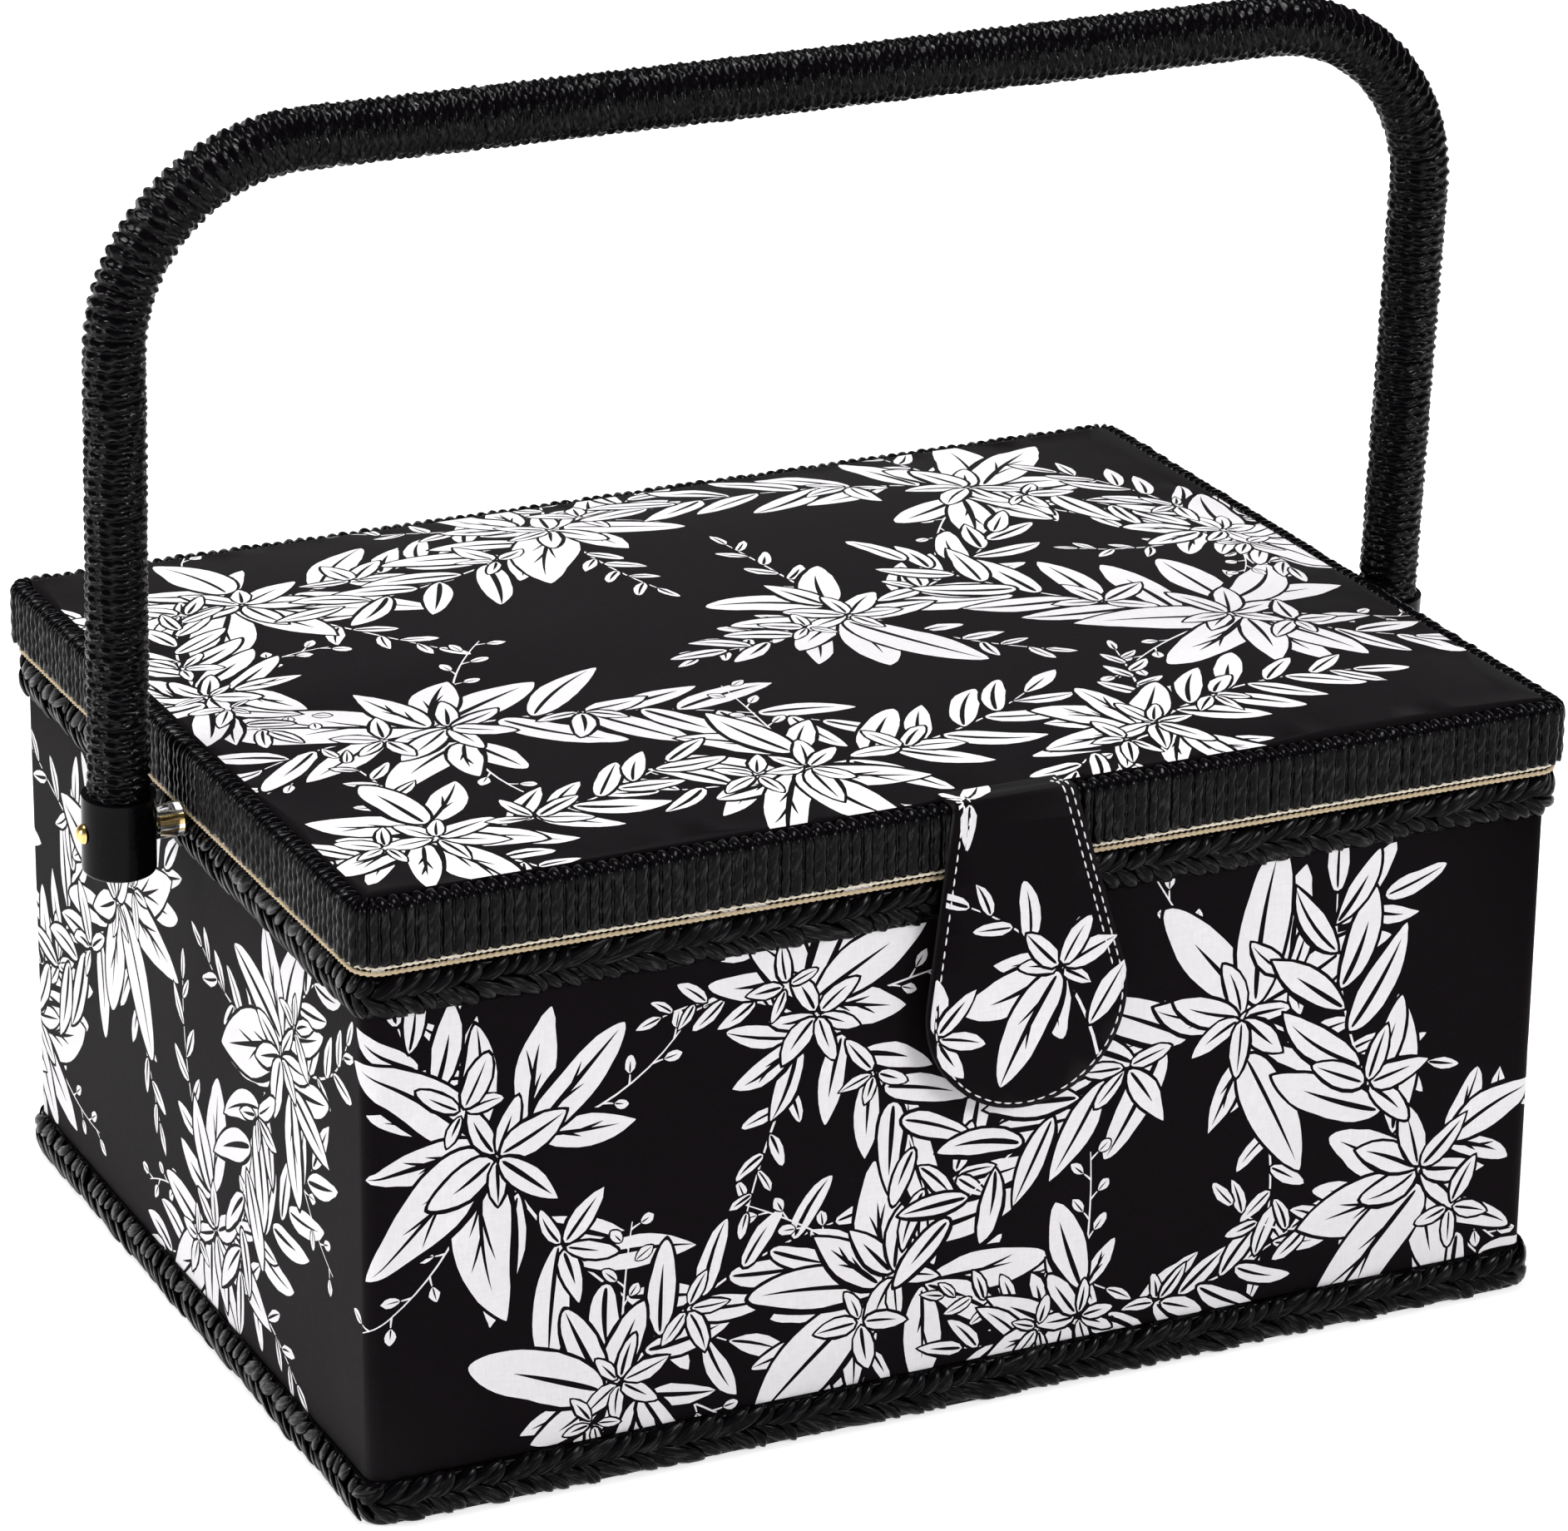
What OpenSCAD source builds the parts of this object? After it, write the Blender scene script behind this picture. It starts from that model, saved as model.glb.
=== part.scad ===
// Fabric-covered sewing box with a padded hinged lid, a swinging handle,
// a closure flap and two lift-out trays. Millimetres, +Z up, front along -Y.
// The origin is the middle of the underside.

/* [Box] */
// Width of the wooden box over its boards
body_w = 320; // [290:1:380]
// Depth of the wooden box over its boards
body_d = 237; // [200:1:280]
// Height of the box rim above the ground
body_h = 146.8; // [130:0.1:180]
// Thickness of the wall and base boards
board_t = 6; // [5:0.5:8]
// Rounding of the upright board corners
corner_r = 3.5; // [3:0.5:4.5]
// Thickness of the printed fabric on the box
fabric_t = 1; // [0.6:0.1:1.5]
// Thickness of the inside lining card
lining_t = 1.2; // [0.8:0.1:2]

/* [Braids and edge cords] */
// How far both plaited braids stand out from the fabric
braid_t = 3; // [2.5:0.5:4]
// Height of the braid round the rim
rim_braid_h = 11.6; // [8:0.1:14]
// Height of the braid round the base
base_braid_h = 12.2; // [8:0.1:16]
// Rounding of the braids' outer edges
braid_round = 1.3; // [0.5:0.1:1.6]
// Distance from the rim down to the top of its braid
rim_drop = 2.4; // [2:0.1:4]
// Height of the base braid above the ground
base_lift = 0.5; // [0.3:0.1:1.5]
// Diameter of the cotton edge cords
edge_cord_d = 1.3; // [1:0.1:1.3]
// How far the edge cords sit behind the braid's face
cord_inset = 0.4; // [0.2:0.1:0.8]

/* [Lid] */
// Gap between the box rim and the lid frame
lid_gap = 0.5; // [0.4:0.1:1]
// How far the lid border stands out past the rim braid
border_over = 1; // [0.5:0.1:1.8]
// Height of the cord-wound lid border
border_h = 16.1; // [13:0.1:20]
// Thickness of the winding on the outside of the lid frame
border_t = 4; // [3:0.5:5]
// Width of the winding over the top of the border
border_lip = 5.5; // [5:0.5:7]
// Thickness of the winding on top of the lid frame
lip_t = 2; // [1.5:0.5:3]
// Rounding of the border's outer edges
border_round = 2.2; // [1:0.1:2.4]
// Corner radius of the lid border
lid_corner_r = 7.2; // [7.1:0.1:10]
// Width of the lid frame rails
frame_t = 8; // [6:0.5:12]
// Thickness of the lid board
lid_board_t = 4; // [3:0.5:6]
// Rise of the padded lid top above its border
crown_h = 5; // [2:0.5:9]
// Thickness of the printed fabric on the lid
lid_fabric_t = 1; // [0.6:0.1:1.5]
// Thickness of the lid lining panel
lid_lining_t = 1.5; // [1:0.1:2.5]
// Width of the pin cushion under the lid
cushion_w = 110; // [60:1:160]
// Depth of the pin cushion
cushion_d = 60; // [40:1:90]
// Thickness of the pin cushion
cushion_h = 12; // [8:0.5:13]
// Corner rounding of the pin cushion
cushion_corner_r = 8; // [4:0.5:12]

/* [Lid hinges] */
// Distance between the two hinges
hinge_spacing = 190; // [120:1:230]
// Length of each hinge along its pin
hinge_w = 24; // [18:1:36]
// Thickness of the hinge leaves
leaf_t = 1.2; // [0.8:0.1:1.4]
// Height of each hinge leaf from the pin
leaf_h = 12.5; // [11:0.5:13]
// Outer diameter of the hinge knuckles
knuckle_d = 4.4; // [4:0.1:4.4]
// Diameter of the hinge pins
pin_d = 2; // [1.6:0.1:2.4]
// Radial clearance of the hinge pins in the moving knuckle
pin_clearance = 0.06; // [0.03:0.01:0.09]
// Gap between neighbouring knuckles
knuckle_gap = 0.2; // [0.1:0.05:0.4]
// Height of the hinge axis above the rim
hinge_rise = -0.4; // [-0.5:0.1:-0.2]
// Shank diameter of the hinge screws
hinge_screw_d = 1.8; // [1.4:0.1:2.2]
// Length of the hinge screws under their heads
hinge_screw_l = 9; // [7:0.5:9.5]

/* [Handle] */
// Distance of the handle pivots in front of the middle of the box
pivot_front = 5.4; // [0:0.1:12]
// Depth of the pivots below the rim
pivot_drop = 4.5; // [4.2:0.1:8]
// Length of the clear spacer tubes
spacer_l = 6.45; // [5:0.05:10]
// Outer diameter of the clear spacer tubes
spacer_d = 8.4; // [6:0.1:8.6]
// Diameter of the pivot screws
pivot_screw_d = 3; // [2.5:0.1:3]
// Radial clearance of the pivot screws in the handle
pivot_clearance = 0.06; // [0.03:0.01:0.09]
// Diameter of the screws' domed heads
dome_d = 5.2; // [4.6:0.1:7]
// Height of the screws' domed heads
dome_h = 1.9; // [1.2:0.1:2.4]
// Diameter of the end ferrules
ferrule_d = 18.5; // [17:0.1:22]
// Length of the end ferrules
ferrule_l = 20.5; // [18:0.1:26]
// How far the ferrules reach below the pivot
ferrule_below = 11; // [9:0.1:13]
// Thickness of the ferrules' closed ends
ferrule_end_t = 2; // [1.5:0.1:3]
// Diameter of the wound grip
grip_d = 14.6; // [13:0.1:16.5]
// Diameter of the rod inside the winding
core_d = 9; // [7:0.5:11]
// Height of the grip's centreline above the pivots
handle_rise = 173.7; // [150:0.1:200]
// Bend radius of the handle's corners
bend_r = 48; // [35:1:70]
// Forward lean of the handle in degrees
handle_lean = 3; // [0:0.5:5]

/* [Closure flap] */
// Distance of the flap's root right of the middle
flap_x = 5.3; // [-20:0.1:20]
// Width of the flap's neck
flap_neck_w = 31.6; // [24:0.1:40]
// Width of the flap's round end
flap_end_w = 54; // [44:1:64]
// Length of the flap
flap_l = 81.5; // [70:0.5:95]
// Sideways lean of the flap's round end
flap_shift = 4.7; // [0:0.1:6]
// Thickness of the padded flap
flap_t = 2.8; // [2:0.1:4]
// Gap between the flap and the lid border
flap_gap = 0.45; // [0.35:0.05:0.8]
// Diameter of the magnet and of its catch plate
magnet_d = 15; // [10:0.5:18]
// Thickness of the flap's magnet
magnet_t = 2.4; // [1.5:0.1:2.4]
// Gap left between the magnet and the catch plate
magnet_gap = 0.5; // [0.3:0.1:0.8]

/* [Trays] */
// Depth of the tray flanges below the rim
tray_drop = 32.8; // [31:0.1:40]
// Height of each tray
tray_h = 40; // [30:0.5:50]
// Thickness of the tray walls and floor
tray_wall = 1.8; // [1.2:0.1:2.5]
// Gap between the trays and what stands beside them
tray_gap = 1; // [0.5:0.1:2]
// Thickness of the tray flange
flange_t = 2; // [1.5:0.1:3]
// Width of the tray flange past the tray's sides
side_flange = 3; // [2:0.5:4]
// Draw of the tray walls on each side
tray_draft = 2; // [1:0.1:3]
// Corner radius of the trays
tray_r = 7; // [5:0.5:10]
// Depth of the long compartment along the front
long_pocket = 56; // [40:1:70]
// Radius of the finger notch
notch_r = 13; // [9:0.5:16]
// Width of the tray ledges
ledge_w = 6; // [5:0.5:9]
// Height of the tray ledges
ledge_h = 10; // [7:0.5:14]

/* [Hidden] */
$fn = 48;
eps = 0.01;
through = 40;

// box outside, layer by layer
fabric_w = body_w + 2*fabric_t;
fabric_d = body_d + 2*fabric_t;
fabric_r = corner_r + fabric_t;
braid_w = fabric_w + 2*braid_t;
braid_d = fabric_d + 2*braid_t;
braid_r = fabric_r + braid_t;
lid_w = braid_w + 2*border_over;
lid_d = braid_d + 2*border_over;
inner_w = body_w - 2*board_t;
inner_d = body_d - 2*board_t;
room_w = inner_w - 2*lining_t;
room_d = inner_d - 2*lining_t;
braid_top = body_h - rim_drop;
cord_w = braid_w - 2*cord_inset;
cord_d = braid_d - 2*cord_inset;
cord_r = braid_r - cord_inset;
fabric_drop = 0.4;

// lid, from its underside up
lid_z = body_h + lid_gap;
lid_top = lid_z + border_h;
frame_w = lid_w - 2*border_t;
frame_d = lid_d - 2*border_t;
frame_top = lid_top - lip_t;
frame_r = lid_corner_r - border_t;
board_w = frame_w - 2*frame_t;
board_d = frame_d - 2*frame_t;
board_z = frame_top - lid_board_t;
pad_play = 0.3;
pad_w = lid_w - 2*(border_lip + pad_play);
pad_d = lid_d - 2*(border_lip + pad_play);

// hinges
hinge_z = body_h + hinge_rise;
hinge_y = lid_d/2 + knuckle_d/2 + 0.2;
box_leaf_y = braid_d/2;
lid_leaf_y = lid_d/2;
knuckle_l = hinge_w/3;
screw_spread = hinge_w/2 - 5;
screw_head_h = 0.8;

// handle
pivot_z = body_h - pivot_drop;
pivot_y = -pivot_front;
ferrule_r = ferrule_d/2;
leg_x = braid_w/2 + spacer_l + ferrule_r;
screw_play = 0.1;
spacer_play = 0.15;
washer_t = 0.5;
washer_d = 7;
nut_t = 2.4;

// closure flap
flap_rear = -(lid_d/2 + flap_gap);
flap_axis_y = flap_rear - flap_t/2;
flap_axis_z = lid_top + 0.6;
flap_r = flap_end_w/2;
flap_drop = flap_l - flap_r;
root_play = 0.25;
root_t = 2;
magnet_x = flap_x + flap_shift;
magnet_z = flap_axis_z - flap_drop;
catch_face = flap_rear + magnet_t + magnet_gap;

// trays
flange_z = body_h - tray_drop;
tray_w = (room_w - 3*tray_gap)/2;
tray_d = room_d - 2*tray_gap;
end_flange = ledge_w + tray_gap/2;
tub_w = tray_w - 2*side_flange;
tub_d = tray_d - 2*end_flange;
pocket_r = tray_r - tray_wall;

// ---- shared shapes ----

// flat slab with round upright corners, standing on z = 0
module slab(w, d, r, h) {
    linear_extrude(h) {
        square([w - 2*r, d], center = true);
        square([w, d - 2*r], center = true);
        for (x = [-1, 1], y = [-1, 1])
            translate([x*(w/2 - r), y*(d/2 - r)]) circle(r);
    }
}

// carries a profile (x outward, y up) round a rectangle with round corners
module ring_sweep(w, d, r) {
    for (side = [0:3]) rotate(90*side) {
        run = (side % 2 == 0 ? d : w) - 2*r;
        off = (side % 2 == 0 ? w : d)/2 - r;
        translate([off, run/2, 0]) {
            rotate([90, 0, 0]) linear_extrude(run) translate([r, 0]) children();
            rotate_extrude(angle = 90) translate([r, 0]) children();
        }
    }
}

// band profile, flat behind and rounded in front
module band(t, h, r) {
    translate([-t, 0]) square([t - r, h]);
    translate([-r, r]) square([r, h - 2*r]);
    intersection() {
        translate([-r, 0]) square([r, h]);
        for (y = [r, h - r]) translate([-r, y]) circle(r);
    }
}

// round bar along X
module bar_x(d, x0, x1, y = 0, z = 0) {
    translate([x0, y, z]) rotate([0, 90, 0]) cylinder(d = d, h = x1 - x0);
}

// puts a child on the left (-1) or the right (1)
module on_side(side) {
    mirror([side < 0 ? 1 : 0, 0, 0]) children();
}

// ---- box ----

module base_panel() {
    color("burlywood") translate([-inner_w/2, -inner_d/2, 0]) cube([inner_w, inner_d, board_t]);
}

// front or back wall board, full width, with its two corners rounded
module end_panel(side) {
    color("burlywood") difference() {
        intersection() {
            slab(body_w, body_d, corner_r, body_h);
            translate([-body_w/2, side > 0 ? inner_d/2 : -body_d/2, 0]) cube([body_w, board_t, body_h]);
        }
        if (side > 0) hinge_screw_holes(hinge_screw_d);
    }
}

module side_panel(side) {
    color("burlywood") on_side(side) difference() {
        translate([inner_w/2, -inner_d/2, 0]) cube([board_t, inner_d, body_h]);
        pivot_hole();
    }
}

// hole for one pivot screw, on the right
module pivot_hole() {
    bar_x(pivot_screw_d + 2*screw_play, inner_w/2 - through, leg_x, pivot_y, pivot_z);
}

module both_pivot_holes() {
    for (side = [-1, 1]) on_side(side) pivot_hole();
}

module outer_fabric() {
    color("dimgray") difference() {
        translate([0, 0, base_lift]) slab(fabric_w, fabric_d, fabric_r, body_h - base_lift - fabric_drop);
        translate([0, 0, -1]) slab(body_w, body_d, corner_r, body_h + 2);
        both_pivot_holes();
        hinge_screw_holes(hinge_screw_d);
    }
}

module rim_braid() {
    color("black") difference() {
        translate([0, 0, braid_top - rim_braid_h]) ring_sweep(braid_w, braid_d, braid_r)
            band(braid_t, rim_braid_h, braid_round);
        both_pivot_holes();
        hinge_screw_holes(hinge_screw_d);
    }
}

module base_braid() {
    color("black") translate([0, 0, base_lift]) ring_sweep(braid_w, braid_d, braid_r)
        band(braid_t, base_braid_h, braid_round);
}

// cotton cord lying on the rim braid or under the lid border
module edge_cord(z) {
    translate([0, 0, z]) ring_sweep(cord_w, cord_d, cord_r)
        translate([-edge_cord_d/2, edge_cord_d/2]) circle(d = edge_cord_d, $fn = 24);
}

module box_edge_cord() {
    color("wheat") edge_cord(braid_top);
}

module box_lining() {
    color("gainsboro") difference() {
        translate([-inner_w/2, -inner_d/2, board_t]) cube([inner_w, inner_d, body_h - board_t - fabric_drop]);
        translate([-room_w/2, -room_d/2, board_t + lining_t]) cube([room_w, room_d, body_h]);
        both_pivot_holes();
    }
}

module tray_ledge(side) {
    y = side > 0 ? room_d/2 - ledge_w : -room_d/2;
    color("burlywood") translate([-room_w/2, y, flange_z - flange_t - ledge_h])
        cube([room_w, ledge_w, ledge_h]);
}

// ---- lid hinges ----

// shanks or holes of all hinge screws in the box wall
module hinge_screw_holes(d) {
    for (side = [-1, 1], x = [-1, 1])
        translate([side*hinge_spacing/2 + x*screw_spread, box_leaf_y + leaf_t, hinge_z - leaf_h/2 - 1.5])
            rotate([90, 0, 0]) cylinder(d = d, h = hinge_screw_l);
}

// shanks or holes of all hinge screws in the lid frame
module lid_screw_holes(d) {
    for (side = [-1, 1], x = [-1, 1])
        translate([side*hinge_spacing/2 + x*screw_spread, lid_leaf_y + leaf_t, hinge_z + leaf_h/2 + 1.5])
            rotate([90, 0, 0]) cylinder(d = d, h = hinge_screw_l);
}

// one screw head for each hole, on a leaf at y
module screw_heads(y, z) {
    for (side = [-1, 1], x = [-1, 1])
        translate([side*hinge_spacing/2 + x*screw_spread, y, z]) rotate([-90, 0, 0])
            cylinder(d1 = 2*hinge_screw_d, d2 = 1.3*hinge_screw_d, h = screw_head_h);
}

module hinge_screws_box() {
    color("goldenrod") {
        hinge_screw_holes(hinge_screw_d);
        screw_heads(box_leaf_y + leaf_t, hinge_z - leaf_h/2 - 1.5);
    }
}

module hinge_screws_lid() {
    color("goldenrod") {
        lid_screw_holes(hinge_screw_d);
        screw_heads(lid_leaf_y + leaf_t, hinge_z + leaf_h/2 + 1.5);
    }
}

// box leaf: two outer knuckles, a foot under them and a plate against the braid
module hinge_leaf_box(side) {
    cx = side*hinge_spacing/2;
    color("goldenrod") difference() {
        union() {
            for (x = [0, 2]) {
                x0 = cx - hinge_w/2 + x*knuckle_l + (x > 0 ? knuckle_gap : 0);
                len = knuckle_l - knuckle_gap;
                bar_x(knuckle_d, x0, x0 + len, hinge_y, hinge_z);
                translate([x0, box_leaf_y, hinge_z - knuckle_d/2])
                    cube([len, hinge_y - box_leaf_y, leaf_t]);
            }
            translate([cx - hinge_w/2, box_leaf_y, hinge_z - leaf_h])
                cube([hinge_w, leaf_t, leaf_h - knuckle_d/2 + leaf_t]);
        }
        bar_x(pin_d, cx - hinge_w, cx + hinge_w, hinge_y, hinge_z);
        hinge_screw_holes(hinge_screw_d);
    }
}

// lid leaf: the middle knuckle, a foot over it and a plate against the border
module hinge_leaf_lid(side) {
    cx = side*hinge_spacing/2;
    x0 = cx - knuckle_l/2;
    foot_z = hinge_z + knuckle_d/2 - leaf_t;
    color("goldenrod") difference() {
        union() {
            bar_x(knuckle_d, x0, x0 + knuckle_l, hinge_y, hinge_z);
            translate([x0, lid_leaf_y, foot_z]) cube([knuckle_l, hinge_y - lid_leaf_y, leaf_t]);
            translate([cx - hinge_w/2, lid_leaf_y, foot_z + leaf_t])
                cube([hinge_w, leaf_t, leaf_h - knuckle_d/2]);
            translate([x0, lid_leaf_y, foot_z]) cube([knuckle_l, leaf_t, 2*leaf_t]);
        }
        bar_x(pin_d + 2*pin_clearance, cx - hinge_w, cx + hinge_w, hinge_y, hinge_z);
        lid_screw_holes(hinge_screw_d);
    }
}

module hinge_pin(side) {
    cx = side*hinge_spacing/2;
    color("goldenrod") {
        bar_x(pin_d, cx - hinge_w/2 - 0.4, cx + hinge_w/2 + 0.4, hinge_y, hinge_z);
        for (x = [-1, 1]) translate([cx + x*(hinge_w/2 + 0.2), hinge_y, hinge_z])
            rotate([0, 90, 0]) cylinder(d = 1.4*pin_d, h = 0.4, center = true);
    }
}

// ---- handle pivots ----

// screw from its dome outside the ferrule to past the nut inside
module pivot_screw(side) {
    cap_r = (dome_d*dome_d/4 + dome_h*dome_h)/(2*dome_h);
    head_x = leg_x + ferrule_r + screw_play/2;
    tip_x = room_w/2 - washer_t - nut_t - 0.6;
    color("gold") on_side(side) {
        bar_x(pivot_screw_d, tip_x, head_x, pivot_y, pivot_z);
        intersection() {
            translate([head_x + dome_h - cap_r, pivot_y, pivot_z]) sphere(cap_r);
            bar_x(2*dome_d, head_x, head_x + 2*dome_h, pivot_y, pivot_z);
        }
    }
}

module pivot_spacer(side) {
    color("azure") on_side(side) difference() {
        bar_x(spacer_d, braid_w/2, leg_x - ferrule_r - spacer_play, pivot_y, pivot_z);
        pivot_hole();
    }
}

module pivot_washers() {
    color("silver") for (side = [-1, 1]) on_side(side) difference() {
        bar_x(washer_d, room_w/2 - washer_t, room_w/2, pivot_y, pivot_z);
        pivot_hole();
    }
}

module pivot_nuts() {
    color("silver") for (side = [-1, 1]) on_side(side) difference() {
        translate([room_w/2 - washer_t - nut_t, pivot_y, pivot_z]) rotate([0, 90, 0])
            cylinder(d = 2.1*pivot_screw_d, h = nut_t, $fn = 6);
        bar_x(pivot_screw_d, 0, leg_x, pivot_y, pivot_z);
    }
}

module catch_plate() {
    color("silver") translate([magnet_x, -fabric_d/2, magnet_z]) rotate([90, 0, 0])
        cylinder(d = magnet_d, h = -catch_face - fabric_d/2);
}

// ---- lid ----

module lid_board() {
    color("burlywood") translate([-board_w/2, -board_d/2, board_z]) cube([board_w, board_d, lid_board_t]);
}

module lid_frame() {
    color("burlywood") difference() {
        translate([0, 0, lid_z]) slab(frame_w, frame_d, frame_r, frame_top - lid_z);
        translate([-board_w/2, -board_d/2, lid_z - 1]) cube([board_w, board_d, border_h]);
        lid_screw_holes(hinge_screw_d);
    }
}

// crowned height over the lid, u and v from -1 to 1
function crown(u, v) = crown_h*(1 - pow(abs(u), 4))*(1 - pow(abs(v), 4));

// solid between two crowned sheets, bottom at z0 + k0*crown and top at z1 + crown
module crowned(w, d, z0, k0, z1) {
    nx = 20;
    ny = 16;
    m = (nx + 1)*(ny + 1);
    points = [for (s = [0, 1], j = [0:ny], i = [0:nx])
        let (u = 2*i/nx - 1, v = 2*j/ny - 1)
        [u*w/2, v*d/2, s == 0 ? z0 + k0*crown(u, v) : z1 + crown(u, v)]];
    rim = concat([for (i = [0:nx - 1]) i], [for (j = [0:ny - 1]) nx + j*(nx + 1)],
        [for (i = [0:nx - 1]) m - 1 - i], [for (j = [0:ny - 1]) (ny - j)*(nx + 1)]);
    n = len(rim);
    faces = concat(
        [for (j = [0:ny - 1], i = [0:nx - 1]) let (a = j*(nx + 1) + i) [a, a + 1, a + nx + 2, a + nx + 1]],
        [for (j = [0:ny - 1], i = [0:nx - 1]) let (a = m + j*(nx + 1) + i) [a, a + nx + 1, a + nx + 2, a + 1]],
        [for (k = [0:n - 1]) let (a = rim[k], b = rim[(k + 1) % n]) [b, a, a + m, b + m]]);
    polyhedron(points, faces);
}

module lid_padding() {
    color("ivory") crowned(pad_w, pad_d, frame_top, 0, lid_top - lid_fabric_t);
}

module lid_fabric() {
    color("dimgray") crowned(pad_w, pad_d, lid_top - lid_fabric_t, 1, lid_top);
}

module lid_border() {
    color("black") difference() {
        translate([0, 0, lid_z]) ring_sweep(lid_w, lid_d, lid_corner_r) {
            band(border_t, border_h, border_round);
            translate([-border_lip, border_h - lip_t]) square([border_lip - border_round, lip_t]);
        }
        lid_screw_holes(hinge_screw_d);
    }
}

module lid_edge_cord() {
    color("beige") edge_cord(lid_z - edge_cord_d);
}

module lid_lining() {
    color("gainsboro") translate([-board_w/2, -board_d/2, board_z - lid_lining_t])
        cube([board_w, board_d, lid_lining_t]);
}

module pin_cushion() {
    puff_r = cushion_h/2 - 1;
    color("gray") translate([0, 0, board_z - lid_lining_t - cushion_h]) hull() {
        translate([0, 0, cushion_h - 1]) slab(cushion_w, cushion_d, cushion_corner_r, 1, $fn = 24);
        for (x = [-1, 1], y = [-1, 1])
            translate([x*(cushion_w/2 - cushion_corner_r - puff_r), y*(cushion_d/2 - cushion_corner_r - puff_r), puff_r])
                sphere(puff_r, $fn = 24);
    }
}

// sewn-down end of the flap, on top of the border, hollowed to seat the flap's rounded top
module flap_root() {
    back = -lid_d/2 + border_lip;
    color("dimgray") difference() {
        translate([flap_x - flap_neck_w/2, flap_rear, lid_top]) cube([flap_neck_w, back - flap_rear, root_t]);
        bar_x(flap_t + 2*root_play, flap_x - flap_neck_w, flap_x + flap_neck_w, flap_axis_y, flap_axis_z);
    }
}

// ---- closure flap ----

// flap outline in x and z: a neck that runs tangent into a round end
module flap_outline() {
    half = flap_neck_w/2;
    left = [-half - flap_shift, flap_drop];
    right = [half - flap_shift, flap_drop];
    turn_l = acos(flap_r/norm(left));
    turn_r = acos(flap_r/norm(right));
    a_l = atan2(left.y, left.x) + turn_l;
    a_r = atan2(right.y, right.x) - turn_r;
    translate([flap_shift, -flap_drop]) {
        circle(flap_r);
        polygon([left, right, flap_r*[cos(a_r), sin(a_r)], [0, 0], flap_r*[cos(a_l), sin(a_l)]]);
    }
}

module closure_flap() {
    color("dimgray") {
        translate([flap_x, flap_rear, flap_axis_z]) rotate([90, 0, 0]) linear_extrude(flap_t) flap_outline();
        bar_x(flap_t, flap_x - flap_neck_w/2, flap_x + flap_neck_w/2, flap_axis_y, flap_axis_z);
    }
}

module flap_magnet() {
    color("silver") translate([magnet_x, flap_rear, magnet_z]) rotate([-90, 0, 0])
        cylinder(d = magnet_d, h = magnet_t);
}

// ---- handle ----

// leans a part of the handle forward about the pivots
module leaned() {
    translate([0, pivot_y, pivot_z]) rotate([handle_lean, 0, 0]) children();
}

// bent bar of diameter d whose legs start at height z0 over the pivots
module bow(d, z0) {
    leg_top = handle_rise - bend_r;
    for (side = [-1, 1]) on_side(side) {
        translate([leg_x, 0, z0]) cylinder(d = d, h = leg_top - z0);
        translate([leg_x - bend_r, 0, leg_top]) rotate([90, 0, 0])
            rotate_extrude(angle = 90) translate([bend_r, 0]) circle(d = d);
    }
    bar_x(d, bend_r - leg_x, leg_x - bend_r, 0, handle_rise);
}

module handle_core() {
    foot = ferrule_end_t - ferrule_below;
    color("peru") leaned() difference() {
        bow(core_d, foot);
        bar_x(pivot_screw_d + 2*pivot_clearance, -2*leg_x, 2*leg_x);
    }
}

module handle_winding() {
    color("black") leaned() difference() {
        bow(grip_d, ferrule_l - ferrule_below);
        bow(core_d, -ferrule_below);
    }
}

// closed cap on one end of the rod, with a round lower edge
module ferrule(side) {
    r = ferrule_r;
    edge = 1.2;
    color("black") leaned() on_side(side) difference() {
        translate([leg_x, 0, -ferrule_below]) rotate_extrude() {
            translate([0, edge]) square([r, ferrule_l - edge]);
            square([r - edge, edge]);
            intersection() {
                translate([r - edge, edge]) circle(edge);
                square([r, edge]);
            }
        }
        translate([leg_x, 0, ferrule_end_t - ferrule_below]) cylinder(d = core_d, h = ferrule_l);
        bar_x(pivot_screw_d + 2*pivot_clearance, 0, 2*leg_x);
    }
}

// ---- trays ----

// block between a wide top and a narrower bottom, both with round corners
module draft_block(w, d, r, h, draft) {
    hull() {
        translate([0, 0, h - eps]) slab(w, d, r, eps, $fn = 32);
        slab(w - 2*draft, d - 2*draft, r - draft/2, eps, $fn = 32);
    }
}

// one compartment, its lower corner at x, y, open at the top
module pocket(x, y, w, d) {
    translate([x + w/2, y + d/2, tray_wall])
        draft_block(w, d, pocket_r, tray_h, tray_draft*0.8);
}

// moulded tray with a long compartment in front and four behind it
module tray(side) {
    cx = side*(tray_gap/2 + tray_w/2);
    px = -tub_w/2 + tray_wall;
    py = -tub_d/2 + tray_wall;
    half_w = (tub_w - 3*tray_wall)/2;
    rest_d = (tub_d - 2*tray_wall - long_pocket - 2*tray_wall)/2;
    color("whitesmoke") translate([cx, 0, flange_z - tray_h]) on_side(-side) difference() {
        union() {
            draft_block(tub_w, tub_d, tray_r, tray_h - flange_t + eps, tray_draft);
            translate([0, 0, tray_h - flange_t]) slab(tray_w, tray_d, tray_r, flange_t);
        }
        pocket(px, py, tub_w - 2*tray_wall, long_pocket);
        for (i = [0, 1], j = [0, 1])
            pocket(px + i*(half_w + tray_wall), py + long_pocket + tray_wall + j*(rest_d + tray_wall),
                half_w, rest_d);
        translate([tub_w/2 - tray_wall - tray_draft - 1, py + long_pocket/2, tray_h]) rotate([0, 90, 0])
            cylinder(r = notch_r, h = through);
    }
}

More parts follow.
